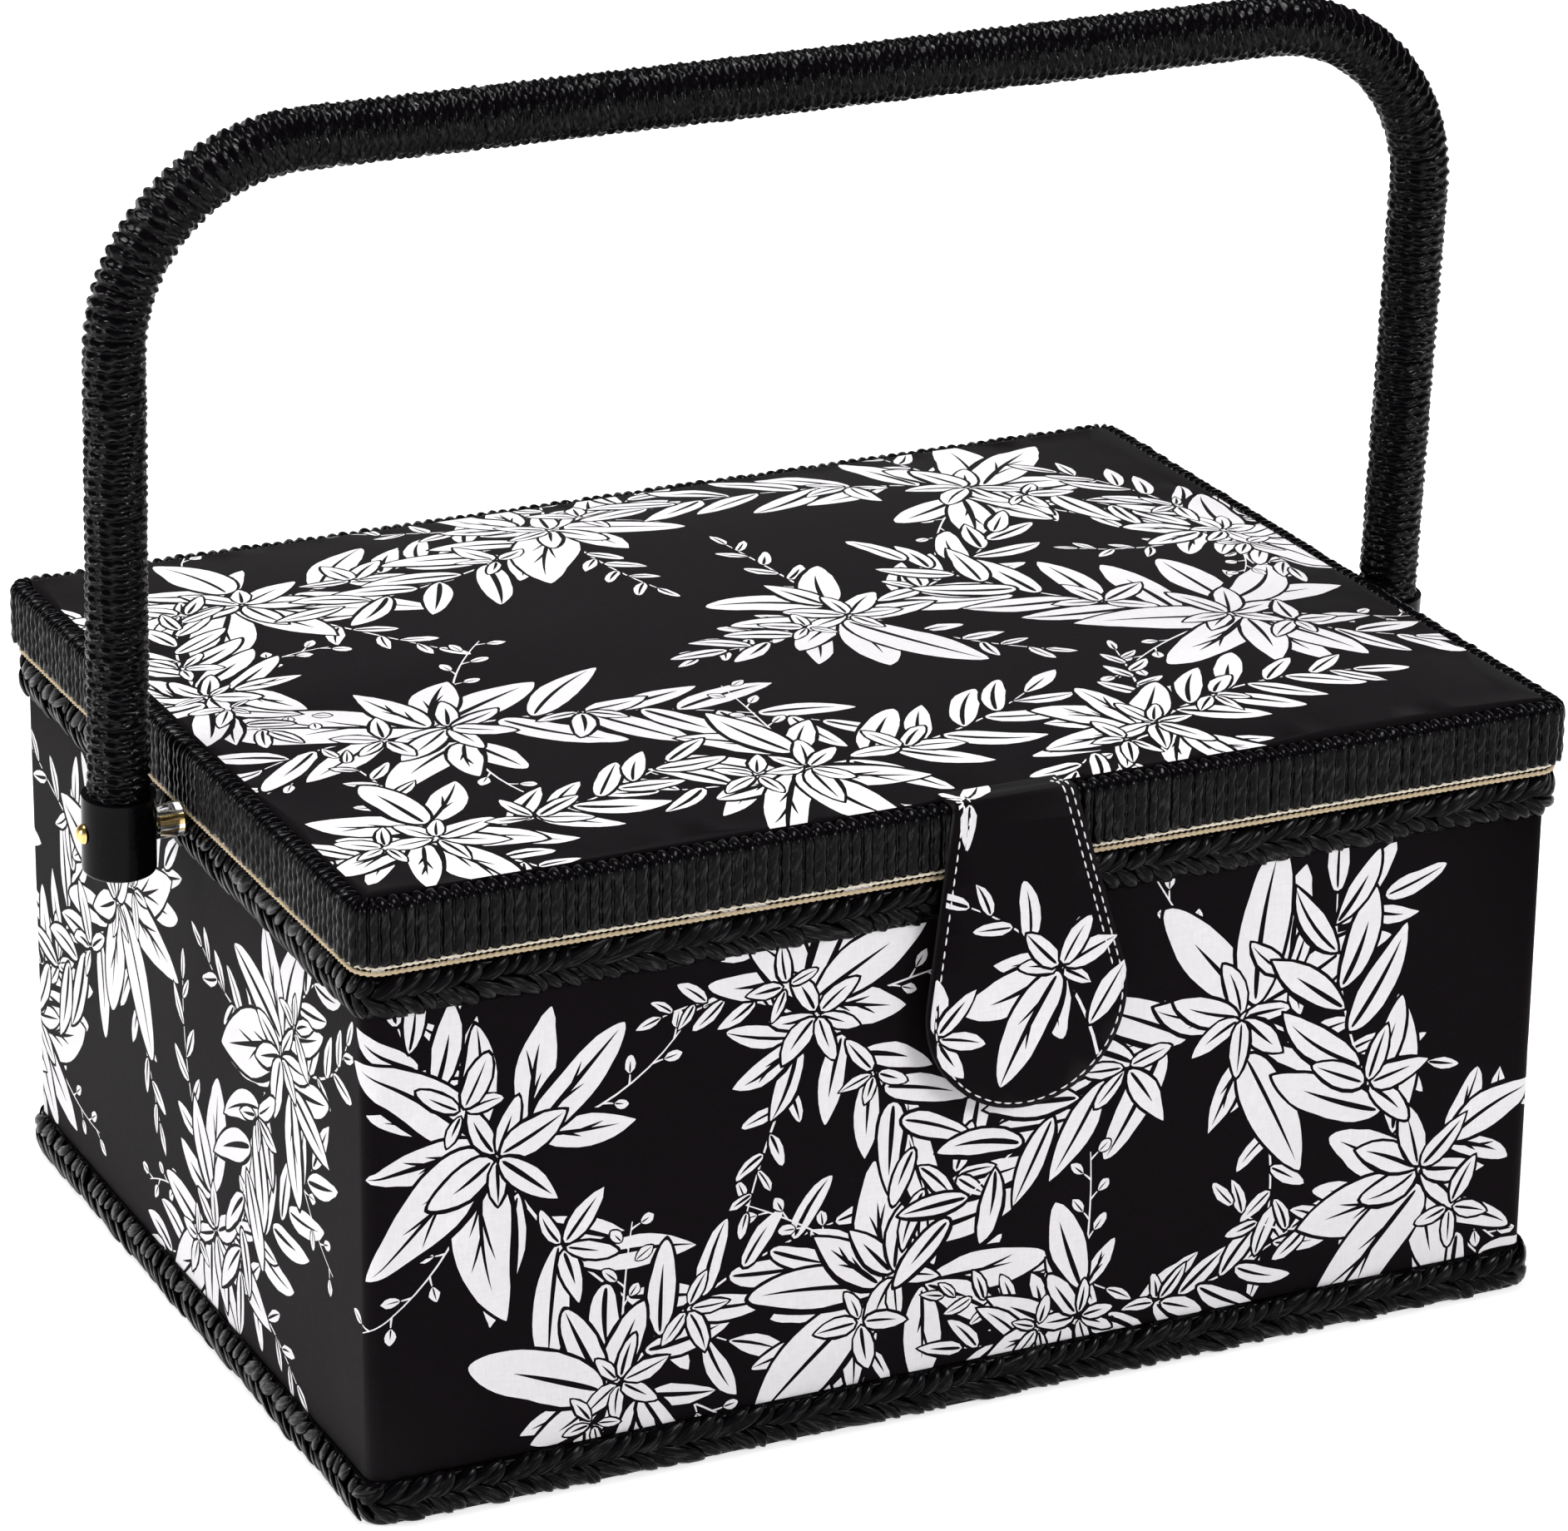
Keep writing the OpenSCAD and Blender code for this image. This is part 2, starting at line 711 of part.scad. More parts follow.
base_panel();
end_panel(-1);  // front_panel
end_panel(1);  // back_panel
side_panel(-1);  // left_panel
side_panel(1);  // right_panel
outer_fabric();
rim_braid();
base_braid();
box_edge_cord();
box_lining();
tray_ledge(-1);  // tray_ledge_front
tray_ledge(1);  // tray_ledge_back
hinge_leaf_box(-1);  // hinge_leaf_box_left
hinge_leaf_box(1);  // hinge_leaf_box_right
hinge_pin(-1);  // hinge_pin_left
hinge_pin(1);  // hinge_pin_right
hinge_screws_box();
pivot_screw(-1);  // pivot_screw_left
pivot_screw(1);  // pivot_screw_right
pivot_spacer(-1);  // pivot_spacer_left
pivot_spacer(1);  // pivot_spacer_right
pivot_washers();
pivot_nuts();
catch_plate();
lid_board();
lid_frame();
lid_padding();
lid_fabric();
lid_border();
lid_edge_cord();
lid_lining();
pin_cushion();
hinge_leaf_lid(-1);  // hinge_leaf_lid_left
hinge_leaf_lid(1);  // hinge_leaf_lid_right
hinge_screws_lid();
flap_root();
closure_flap();
flap_magnet();
handle_core();
handle_winding();
ferrule(-1);  // ferrule_left
ferrule(1);  // ferrule_right
tray(-1);  // tray_left
tray(1);  // tray_right
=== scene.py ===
import math

import bpy
import numpy as np
from mathutils import Matrix, Vector
from mathutils.geometry import delaunay_2d_cdt


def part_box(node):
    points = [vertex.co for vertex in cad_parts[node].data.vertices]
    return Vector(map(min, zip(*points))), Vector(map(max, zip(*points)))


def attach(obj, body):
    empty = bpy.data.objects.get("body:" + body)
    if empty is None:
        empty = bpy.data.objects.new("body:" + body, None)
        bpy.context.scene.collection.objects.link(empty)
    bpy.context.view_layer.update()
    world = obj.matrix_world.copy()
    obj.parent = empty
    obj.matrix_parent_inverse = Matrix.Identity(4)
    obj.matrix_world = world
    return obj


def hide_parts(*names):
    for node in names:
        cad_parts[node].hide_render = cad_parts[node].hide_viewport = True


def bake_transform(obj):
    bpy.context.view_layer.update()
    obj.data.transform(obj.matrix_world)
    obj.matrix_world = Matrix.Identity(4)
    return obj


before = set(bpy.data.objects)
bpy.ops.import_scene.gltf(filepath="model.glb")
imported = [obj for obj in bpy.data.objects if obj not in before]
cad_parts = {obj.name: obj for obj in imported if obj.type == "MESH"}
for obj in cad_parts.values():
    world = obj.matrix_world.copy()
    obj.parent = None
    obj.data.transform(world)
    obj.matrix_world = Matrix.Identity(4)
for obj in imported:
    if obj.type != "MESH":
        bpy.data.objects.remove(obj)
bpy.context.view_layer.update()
mm = 0.001


# The studio: camera, light and ground.

studio = {
    "place": (-0.65917, -1.37477, 0.72667), "turn": -25.750, "down": 21.426, "roll": 0.6877,
    "lens": 145.46, "sensor": 36, "sky": 0.42, "whiteUpTo": 0.10, "dimFrom": 0.40, "dim": 0.06,
    "floorSize": 12.0, "floorGlow": 0.60, "floorColour": (0.86, 0.86, 0.86), "floorRoughness": 0.9,
    "lamps": {"topBox": ((-0.35, 0.25, 1.7), (0, 0, 0.1), (0.8, 0.65), 23),
              "leftBox": ((-1.9, -0.1, 0.75), (0, 0, 0.12), (0.5, 0.7), 17),
              "frontBox": ((0.9, -1.9, 0.95), (0, 0, 0.1), (0.65, 0.45), 20)},
}


def setCamera():
    turn, down, roll = (math.radians(studio[k]) for k in ("turn", "down", "roll"))
    ahead = Vector((-math.sin(turn)*math.cos(down), math.cos(turn)*math.cos(down), -math.sin(down)))
    level = Vector((math.cos(turn), math.sin(turn), 0))
    upright = level.cross(ahead)
    right = math.cos(roll)*level + math.sin(roll)*upright
    above = math.cos(roll)*upright - math.sin(roll)*level
    data = bpy.data.cameras.new("camera")
    data.lens = studio["lens"]
    data.sensor_width = studio["sensor"]
    data.clip_end = 50
    camera = bpy.data.objects.new("camera", data)
    axes = Matrix((right, above, -ahead)).transposed().to_4x4()
    camera.matrix_world = Matrix.Translation(studio["place"]) @ axes
    bpy.context.scene.collection.objects.link(camera)
    bpy.context.scene.camera = camera


def setInputs(tree, node, inputs):
    # a value or a link for each named input
    for name, value in inputs.items():
        if isinstance(value, bpy.types.NodeSocket):
            tree.links.new(value, node.inputs[name])
        else:
            node.inputs[name].default_value = value


def addNode(tree, kind, inputs=None, **settings):
    node = tree.nodes.new("ShaderNode" + kind)
    for name, value in settings.items():
        setattr(node, name, value)
    setInputs(tree, node, inputs or {})
    return node


def ranged(tree, value, source, target=(0.0, 1.0), **settings):
    # a value taken from one range to another
    return addNode(tree, "MapRange", {"Value": value, "From Min": source[0], "From Max": source[1],
                                      "To Min": target[0], "To Max": target[1]}, **settings).outputs[0]


def maths(tree, operation, *values):
    return addNode(tree, "Math", dict(enumerate(values)), operation=operation).outputs[0]


def newMaterial(name, colour, roughness, specular, **sockets):
    material = bpy.data.materials.new(name)
    material.use_nodes = True
    tree = material.node_tree
    shader = tree.nodes["Principled BSDF"]
    sockets |= {"Base_Color": (*colour, 1), "Roughness": roughness, "Specular_IOR_Level": specular}
    setInputs(tree, shader, {name.replace("_", " "): value for name, value in sockets.items()})
    return material, tree, shader


def whiteToEye(tree):
    # 1 for what the camera sees directly, in gloss or through clear plastic, else 0
    rays = addNode(tree, "LightPath")
    first = maths(tree, "MAXIMUM", rays.outputs["Is Camera Ray"], rays.outputs["Is Glossy Ray"])
    return maths(tree, "MAXIMUM", first, rays.outputs["Is Transmission Ray"])


def setWorld():
    world = bpy.data.worlds.new("studio")
    bpy.context.scene.world = world
    world.use_nodes = True
    tree = world.node_tree
    # gloss sees a white surround up to a low height and a dim room above it
    height = addNode(tree, "SeparateXYZ", {"Vector": addNode(tree, "TexCoord").outputs["Generated"]})
    dim = ranged(tree, height.outputs["Z"], (studio["whiteUpTo"], studio["dimFrom"]), (1.0, studio["dim"]),
                 interpolation_type="SMOOTHSTEP")
    rays = addNode(tree, "LightPath")
    inGloss = addNode(tree, "Mix", {"Factor": rays.outputs["Is Glossy Ray"], "A": 1.0, "B": dim})
    strength = addNode(tree, "Mix", {"Factor": whiteToEye(tree), "A": studio["sky"], "B": inGloss.outputs[0]})
    setInputs(tree, tree.nodes["Background"], {"Color": (1, 1, 1, 1), "Strength": strength.outputs[0]})


def addLamp(name, place, target, size, power):
    data = bpy.data.lights.new(name, "AREA")
    data.shape = "RECTANGLE"
    data.size, data.size_y = size
    data.energy = power
    lamp = bpy.data.objects.new(name, data)
    lamp.location = place
    aim = Vector(target) - Vector(place)
    lamp.rotation_euler = aim.to_track_quat("-Z", "Y").to_euler()
    bpy.context.scene.collection.objects.link(lamp)


def setStudio():
    scene = bpy.context.scene
    scene.view_settings.view_transform = "Standard"
    setCamera()
    setWorld()
    for name, (place, target, size, power) in studio["lamps"].items():
        addLamp(name, place, target, size, power)
    half = studio["floorSize"]/2
    mesh = bpy.data.meshes.new("floor")
    mesh.from_pydata([(-half, -half, 0), (half, -half, 0), (half, half, 0), (-half, half, 0)], [],
                     [(0, 1, 2, 3)])
    floor = bpy.data.objects.new("floor", mesh)
    scene.collection.objects.link(floor)
    material, tree, shader = newMaterial("paleFloor", studio["floorColour"], studio["floorRoughness"], 0.0,
                                         Emission_Color=(1, 1, 1, 1))
    setInputs(tree, shader, {"Emission Strength": maths(tree, "MULTIPLY", whiteToEye(tree),
                                                        studio["floorGlow"])})
    mesh.materials.append(material)


setStudio()
print("studio set")


# Meshes from arrays of points.

def gridFaces(rows, cols, closeRows=False, closeCols=False):
    # the four corners of each cell of a grid of points, row by row
    i, j = np.meshgrid(np.arange(rows if closeRows else rows - 1),
                       np.arange(cols if closeCols else cols - 1), indexing="ij")
    nextI, nextJ = (i + 1) % rows, (j + 1) % cols
    return np.stack([i*cols + j, i*cols + nextJ, nextI*cols + nextJ, nextI*cols + j], -1).reshape(-1, 4)


def circle(count):
    return np.linspace(0, 2*np.pi, count, endpoint=False)


def endCaps(rows, cols):
    # the first and the last row of a grid as one face each
    return np.stack([np.arange(cols)[::-1], np.arange(cols) + (rows - 1)*cols])


def boxOf(node):
    # the low and the high corner of a node's box, in millimetres
    return [np.array(corner)/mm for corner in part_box(node)]


def makePiece(name, points, faceSets, materials, uv=None, picks=None):
    # a mesh from points (n x 3, metres) and sets of faces that have the same number of corners
    sizes = np.concatenate([np.full(len(f), f.shape[1]) for f in faceSets]).astype(np.int32)
    loops = np.concatenate([np.asarray(f).ravel() for f in faceSets]).astype(np.int32)
    mesh = bpy.data.meshes.new(name)
    mesh.vertices.add(len(points))
    mesh.vertices.foreach_set("co", np.ascontiguousarray(points, dtype=np.float32).ravel())
    mesh.loops.add(len(loops))
    mesh.loops.foreach_set("vertex_index", loops)
    mesh.polygons.add(len(sizes))
    mesh.polygons.foreach_set("loop_start", (np.cumsum(sizes) - sizes).astype(np.int32))
    if uv is not None:
        layer = mesh.uv_layers.new(name="strand")
        layer.data.foreach_set("uv", np.asarray(uv, np.float32)[loops].ravel())
    for material in materials:
        mesh.materials.append(material)
    if picks is not None:
        mesh.polygons.foreach_set("material_index", np.asarray(picks, np.int32))
    mesh.update(calc_edges=True)
    mesh.polygons.foreach_set("use_smooth", np.ones(len(sizes), bool))
    piece = bpy.data.objects.new(name, mesh)
    bpy.context.scene.collection.objects.link(piece)
    return piece


def ringLength(width, depth, radius):
    return 2*(width + depth) - 8*radius + 2*math.pi*radius


def aroundBox(u, width, depth, radius):
    # centre and direction at the length u round a rounded rectangle, counted from the middle of the
    # front towards +X: the centre slides along each side, and the direction turns only in the corners
    a, h, q = width/2 - radius, depth/2 - radius, math.pi*radius/2
    marks = np.cumsum([0, a, q, 2*h, q, 2*a, q, 2*h, q, a])
    turns = np.radians([-90, -90, 0, 0, 90, 90, 180, 180, 270, 270])
    u = np.mod(u, marks[-1])
    turn = np.interp(u, marks, turns)
    x = np.interp(u, marks, [0, a, a, a, a, -a, -a, -a, -a, 0])
    y = np.interp(u, marks, [-h, -h, -h, h, h, h, h, -h, -h, -h])
    return x, y, np.cos(turn), np.sin(turn)


def ringPoint(u, out, z, width, depth, radius):
    # the point at length u round a rounded rectangle, moved outwards by out and up to z
    x, y, dx, dy = aroundBox(u, width, depth, radius)
    reach = radius + out
    return np.stack([x + reach*dx, y + reach*dy, np.broadcast_to(z, np.shape(x + reach*dx))], -1)


def twoPly(across, along, lay, phase=0.0):
    # height of a cord of two twisted strands, in cord radii: the higher of two round strands that turn
    # about each other once in every lay, at the distance across from the cord's middle, in radii
    turn = 2*np.pi*along/lay + phase
    best = np.zeros(np.broadcast(across, along).shape)
    for start in (0, np.pi):
        side = 0.44*np.cos(turn + start)
        strand = 0.44*np.sin(turn + start) + np.sqrt(np.clip(0.56**2 - (across - side)**2, 0, None))
        best = np.maximum(best, np.where(np.abs(across - side) < 0.56, strand, 0))
    return best


# Materials. Noise and waves are in metres on the object's coordinates or along a strand.

def mixColours(tree, factor, dark, light):
    mix = addNode(tree, "Mix", {"Factor": factor, 6: (*dark, 1), 7: (*light, 1)}, data_type="RGBA")
    return mix.outputs[2]


def stretchedNoise(tree, source, scale, stretch, detail=3.0, slant=0.0):
    # noise on the given coordinates, turned by slant and drawn out by a Mapping node's scale
    mapping = addNode(tree, "Mapping", {"Vector": source, "Rotation": (0, 0, slant),
                                        "Scale": tuple(1/k for k in stretch)}, vector_type="TEXTURE")
    noise = addNode(tree, "TexNoise", {"Vector": mapping.outputs[0], "Scale": scale, "Detail": detail,
                                       "Roughness": 0.6})
    return noise.outputs["Fac"]


def bumpFrom(tree, shader, height, strength, distance, under=None):
    bump = addNode(tree, "Bump", {"Height": height, "Strength": strength, "Distance": distance})
    if under is not None:
        setInputs(tree, bump, {"Normal": under})
    setInputs(tree, shader, {"Normal": bump.outputs[0]})
    return bump.outputs[0]


def woven(tree, source, pitch):
    # plain weave as a height: threads over and under, a wave each way, at a pitch in metres
    parts = []
    for axis in ("X", "Y"):
        wave = addNode(tree, "TexWave", {"Vector": source, "Scale": math.pi/(10*pitch), "Distortion": 0.6,
                                         "Detail": 1.0, "Detail Scale": 3.0}, wave_type="BANDS",
                       bands_direction=axis)
        parts.append(wave.outputs["Fac"])
    return maths(tree, "MULTIPLY", *parts)


def clothMaterial(name, dark, light, pitch, roughness, specular, coords="UV", sheen=0.1, slub=0.35):
    # woven cotton: slubs along both thread directions colour it, and the weave raises it
    material, tree, shader = newMaterial(name, light, roughness, specular, Sheen_Weight=sheen,
                                         Sheen_Roughness=0.5)
    source = addNode(tree, "TexCoord").outputs[coords]
    warp = stretchedNoise(tree, source, 1400, (1, 0.18, 1))
    weft = stretchedNoise(tree, source, 1400, (0.18, 1, 1))
    both = maths(tree, "ADD", warp, weft)
    soft = addNode(tree, "TexNoise", {"Vector": source, "Scale": 60.0, "Detail": 2.0}).outputs["Fac"]
    spread = ranged(tree, both, (1 - slub, 1 + slub))
    blend = maths(tree, "MULTIPLY_ADD", spread, soft, 0.25)
    setInputs(tree, shader, {"Base Color": mixColours(tree, blend, dark, light)})
    bumpFrom(tree, shader, maths(tree, "ADD", woven(tree, source, pitch), both), 0.35, 0.00012)
    return material


def strandMaterial(name, dark, light, roughness, specular, fibre, bump, slant=0.0, shine=1.0):
    # twisted paper cord or raffia: fine fibre lines that run along the strand, or at a slant to it where it
    # is twisted, and some of the fibres shine more than others
    material, tree, shader = newMaterial(name, dark, roughness, specular)
    source = addNode(tree, "TexCoord").outputs["UV"]
    streaks = stretchedNoise(tree, source, fibre, (0.14, 1, 1), slant=slant)
    patches = addNode(tree, "TexNoise", {"Vector": source, "Scale": 260.0, "Detail": 2.0}).outputs["Fac"]
    gloss = ranged(tree, patches, (0.3, 0.7), (roughness*0.75, roughness*1.3))
    glint = ranged(tree, streaks, (0.50, 0.66), (specular/shine, specular*shine))
    setInputs(tree, shader, {"Base Color": mixColours(tree, streaks, dark, light), "Roughness": gloss,
                             "Specular IOR Level": glint})
    under = bumpFrom(tree, shader, streaks, bump, 0.0002)
    bumpFrom(tree, shader, patches, 0.2, 0.0003, under)
    return material


def speckledMaterial(name, dark, light, roughness, scale, bump=0.15, distance=0.0001, specular=0.5,
                     stretch=(1, 1, 1), **sockets):
    # a moulded, cast or planed surface: noise on the object's own coordinates varies its colour, its
    # gloss and its relief
    material, tree, shader = newMaterial(name, light, roughness, specular, **sockets)
    source = addNode(tree, "TexCoord").outputs["Object"]
    grain = stretchedNoise(tree, source, scale, stretch, 4.0)
    spread = ranged(tree, grain, (0.3, 0.7))
    gloss = ranged(tree, spread, (0, 1), (roughness*0.85, roughness*1.15))
    setInputs(tree, shader, {"Base Color": mixColours(tree, spread, dark, light), "Roughness": gloss})
    bumpFrom(tree, shader, grain, bump, distance)
    return material


blackCloth = clothMaterial("blackCloth", (0.0018, 0.0009, 0.0016), (0.0036, 0.0020, 0.0032), 0.00045, 0.7,
                           0.03, sheen=0.035)
whitePrint = clothMaterial("whitePrint", (0.70, 0.68, 0.70), (0.86, 0.84, 0.86), 0.00045, 0.8, 0.1)
blackStraw = (0.0006, 0.0004, 0.0007), (0.0034, 0.0026, 0.0035)
windingCord = strandMaterial("windingCord", *blackStraw, 0.20, 0.12, 1500, 0.12, 0.3, 1.8)
braidStraw = strandMaterial("braidStraw", *blackStraw, 0.22, 0.095, 1300, 0.18, 0.0, 2.2)
creamCotton = strandMaterial("creamCotton", (0.70, 0.60, 0.46), (0.94, 0.88, 0.76), 0.85, 0.2, 3000, 0.6)
beigeCotton = strandMaterial("beigeCotton", (0.44, 0.33, 0.20), (0.72, 0.60, 0.42), 0.85, 0.2, 3000, 0.6)
stitchThread = strandMaterial("stitchThread", (0.70, 0.68, 0.70), (0.92, 0.91, 0.92), 0.6, 0.3, 3000, 0.4)
boardWood = speckledMaterial("boardWood", (0.34, 0.22, 0.12), (0.58, 0.42, 0.26), 0.6, 40, 0.3, 0.0003,
                             stretch=(0.25, 1, 1))
liningCloth = clothMaterial("liningCloth", (0.55, 0.54, 0.58), (0.74, 0.73, 0.77), 0.0006, 0.85, 0.25,
                            "Object")
cushionCloth = clothMaterial("cushionCloth", (0.10, 0.09, 0.11), (0.17, 0.16, 0.19), 0.0006, 0.85, 0.25,
                             "Object", 0.3)
brass = speckledMaterial("brass", (0.62, 0.42, 0.15), (0.86, 0.64, 0.27), 0.24, 900, 0.12, 0.00004,
                         Metallic=1.0)
platedSteel = speckledMaterial("platedSteel", (0.42, 0.42, 0.43), (0.62, 0.62, 0.63), 0.3, 700, 0.12,
                               0.00004, Metallic=1.0)
satinBlack = speckledMaterial("satinBlack", (0.0016, 0.0014, 0.0019), (0.0030, 0.0026, 0.0034), 0.22, 700,
                              0.1, 0.00003, 0.065)
trayPlastic = speckledMaterial("trayPlastic", (0.72, 0.73, 0.75), (0.82, 0.83, 0.85), 0.38, 500, 0.1,
                               0.00003, 0.5)
clearAcrylic = speckledMaterial("clearAcrylic", (0.95, 0.96, 0.97), (1, 1, 1), 0.06, 300, 0.25, 0.0002,
                                IOR=1.49, Transmission_Weight=1.0)
print("materials made")


# Lid border: paper cord wound side by side over the frame, up its face and over its top.
border = {"corner": 7.2, "pitch": 3.1, "cord": 1.57, "twist": 0.26, "lay": 8.6, "sink": 1.5, "over": 0.45,
          "lip": 5.4, "back": 4.1, "wander": 0.10, "wave": 7.5, "drift": 1.1, "uneven": 0.06, "rows": 36,
          "front": 30, "steps": (0, 0.1, 0.25, 0.42, 0.58, 0.75, 0.9), "seed": 4}


def softLoop(corners, radii, count, dense=1.0, share=0.5):
    # a closed outline whose corners are rounded by parabolas, with equal steps; a share of the steps can go
    # to the first part of its length, the share called dense
    corners = np.array(corners, float)
    before = np.roll(corners, 1, 0) - corners
    after = np.roll(corners, -1, 0) - corners
    reach = np.array(radii, float)[:, None]
    start = corners + before/np.linalg.norm(before, axis=1)[:, None]*reach
    end = corners + after/np.linalg.norm(after, axis=1)[:, None]*reach
    t = np.linspace(0, 1, 7)[None, :, None]
    path = ((1 - t)**2*start[:, None] + 2*t*(1 - t)*corners[:, None] + t**2*end[:, None]).reshape(-1, 2)
    path = np.vstack([path, path[:1]])
    length = np.concatenate([[0], np.cumsum(np.linalg.norm(np.diff(path, axis=0), axis=1))])
    steps = np.linspace(0, 1, count, endpoint=False)
    at = length[-1]*(steps if dense == 1.0 else np.interp(steps, [0, share, 1], [0, dense, 1]))
    return np.stack([np.interp(at, length, path[:, 0]), np.interp(at, length, path[:, 1])], 1), at


def sectionNormals(section):
    # the outward direction at each point of a closed outline that runs up the outside
    along = np.roll(section, -1, 0) - np.roll(section, 1, 0)
    along /= np.linalg.norm(along, axis=1)[:, None]
    return np.stack([along[:, 1], -along[:, 0]], 1)


def makeBorder():
    rng = np.random.default_rng(border["seed"])
    low, high = boxOf("lid_border")
    width, depth, base, top = high[0] - low[0], high[1] - low[1], low[2], high[2]
    sink, lip, back = border["sink"], border["lip"], border["back"]
    section, v = softLoop([(-sink, base + 0.5), (-sink, top - sink), (-lip, top - sink),
                           (-lip, top - 2), (-back, top - 2), (-back, base + 0.5)],
                          [0.5, 1.6, 0.2, 0.1, 0.2, 0.2], border["rows"], 0.5, border["front"]/border["rows"])
    normals = sectionNormals(section)
    cover = np.where(section[:, 1] > top - 3, section[:, 0] > -lip + 0.05, section[:, 0] > -back + 1.2)
    around = ringLength(width, depth, border["corner"])
    ribs = round(around/border["pitch"])
    pitch = around/ribs
    rib = np.repeat(np.arange(ribs), len(border["steps"]))
    step = np.tile(border["steps"], ribs)
    v = v[:, None]
    size = border["cord"]*(1 + rng.normal(0, border["uneven"], ribs)[rib])
    across = pitch*(step - 0.5)/size
    # round cords with a two-strand twist; the valleys between them wander a little
    phase = rng.uniform(0, 2*np.pi, ribs)[rib]
    drift = np.cumsum(rng.normal(0, border["drift"], ribs))
    drift = (drift - np.linspace(0, drift[-1], ribs))[(rib + (step > 0.5)) % ribs]
    wander = border["wander"]*np.sin(2*np.pi*v/border["wave"] + drift)*np.abs(2*step - 1)
    form = (1 - border["twist"])*np.sqrt(np.clip(1 - across**2, 0, 1)) \
        + border["twist"]*twoPly(across, v, border["lay"], phase)
    rise = np.minimum(size*form, sink + border["over"])*cover[:, None]
    u = (rib + step)*pitch
    out = section[:, :1] + normals[:, :1]*rise
    z = np.maximum(section[:, 1:] + normals[:, 1:]*rise, base)
    points = ringPoint(u[None, :] + wander, out, z, width, depth, border["corner"])*mm
    strand = np.stack([v + 0.8*across + 7.3*rib, across*size + 0*v], -1)*mm
    piece = makePiece("borderWinding", points.reshape(-1, 3),
                      [gridFaces(len(section), len(u), True, True)], [windingCord], strand.reshape(-1, 2))
    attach(piece, "lid")
    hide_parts("lid_border")


makeBorder()
print("lid border wound")


# Handle: the same cord wound round a bent rod, leaning a little forward.
grip = {"bend": 48.0, "lean": 3.0, "over": 9.5, "cord": 1.30, "pitch": 2.5, "bendPitch": 2.9, "lay": 8.4,
        "fuller": 0.6, "settle": 1.3, "twist": 0.72, "slip": 0.9, "perTurn": 6, "around": 66, "uneven": 0.09,
        "seed": 11}


def makeGrip():
    rng = np.random.default_rng(grip["seed"])
    ferruleLow, ferruleHigh = boxOf("ferrule_right")
    spacerLow, spacerHigh = boxOf("pivot_spacer_right")
    wound = boxOf("handle_winding")[1]
    leg = (ferruleLow[0] + ferruleHigh[0])/2
    pivotY, pivotZ = (spacerLow[1:] + spacerHigh[1:])/2
    lean, bend, over = math.radians(grip["lean"]), grip["bend"], grip["over"]
    radius = wound[0] - leg
    rise = (wound[2] - radius - pivotZ)/math.cos(lean) - grip["settle"]
    flat, top, quarter = leg - bend, rise - bend, math.pi*bend/2
    # leg, bend, top, bend and leg, after a start at 0
    runs = np.array([0, top - over, quarter, 2*flat, quarter, top - over])
    pitches = np.take([grip["pitch"], grip["bendPitch"]], [0, 0, 1, 0, 1, 0])
    marks, turnMarks = np.cumsum(runs), np.cumsum(runs/pitches)
    rows = round(turnMarks[-1]*grip["perTurn"])
    turns = np.linspace(0, turnMarks[-1], rows)
    s = np.interp(turns, turnMarks, marks)
    aim = np.radians(np.interp(s, marks, [180, 180, 90, 90, 0, 0]))
    x = np.interp(s, marks, [-flat, -flat, -flat, flat, flat, flat]) + bend*np.cos(aim)
    h = np.interp(s, marks, [over, top, top, top, top, over]) + bend*np.sin(aim)
    inBend = ((s > marks[1]) & (s < marks[2])) | ((s > marks[3]) & (s < marks[4]))
    localPitch = np.where(inBend, grip["bendPitch"], grip["pitch"])[:, None]
    around = circle(grip["around"])[None, :]
    core = radius + grip["fuller"] - grip["cord"]
    # the cord's own turn number at each point, and how far the point lies to the side of that turn
    wind = turns[:, None] - around/(2*np.pi)
    turn = np.round(wind)
    stretch = 1 + np.where(inBend[:, None], (core + 0.7)*np.cos(around)/bend, 0)
    uneven = rng.normal(0, grip["uneven"], int(turnMarks[-1]) + 4)[turn.astype(int) + 1]
    side = (wind - turn + uneven*0.6)*localPitch*stretch
    length = 2*np.pi*(core + 0.7)*(turn + around/(2*np.pi))
    size = grip["cord"]*(1 + uneven*0.5)
    slip = np.cumsum(rng.normal(0, grip["slip"], int(turnMarks[-1]) + 4))[turn.astype(int) + 1]
    form = (1 - grip["twist"])*np.sqrt(np.clip(1 - (side/size)**2, 0, 1)) \
        + grip["twist"]*twoPly(side/size, length, grip["lay"], slip)
    r = core + size*np.maximum(form, 0.03)
    reachOut = r*np.cos(around)
    px = x[:, None] + reachOut*np.cos(aim)[:, None]
    ph = h[:, None] + reachOut*np.sin(aim)[:, None]
    py = -r*np.sin(around)
    y = pivotY + py*math.cos(lean) - ph*math.sin(lean)
    z = pivotZ + py*math.sin(lean) + ph*math.cos(lean)
    points = np.stack([px, y, z], -1).reshape(-1, 3)*mm
    strand = (np.stack([length + 0.8*side, side], -1)*mm).reshape(-1, 2)
    cols = grip["around"]
    piece = makePiece("gripWinding", points, [gridFaces(rows, cols, False, True), endCaps(rows, cols)],
                      [windingCord], strand)
    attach(piece, "handle")
    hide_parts("handle_winding")


makeGrip()
print("handle wound")


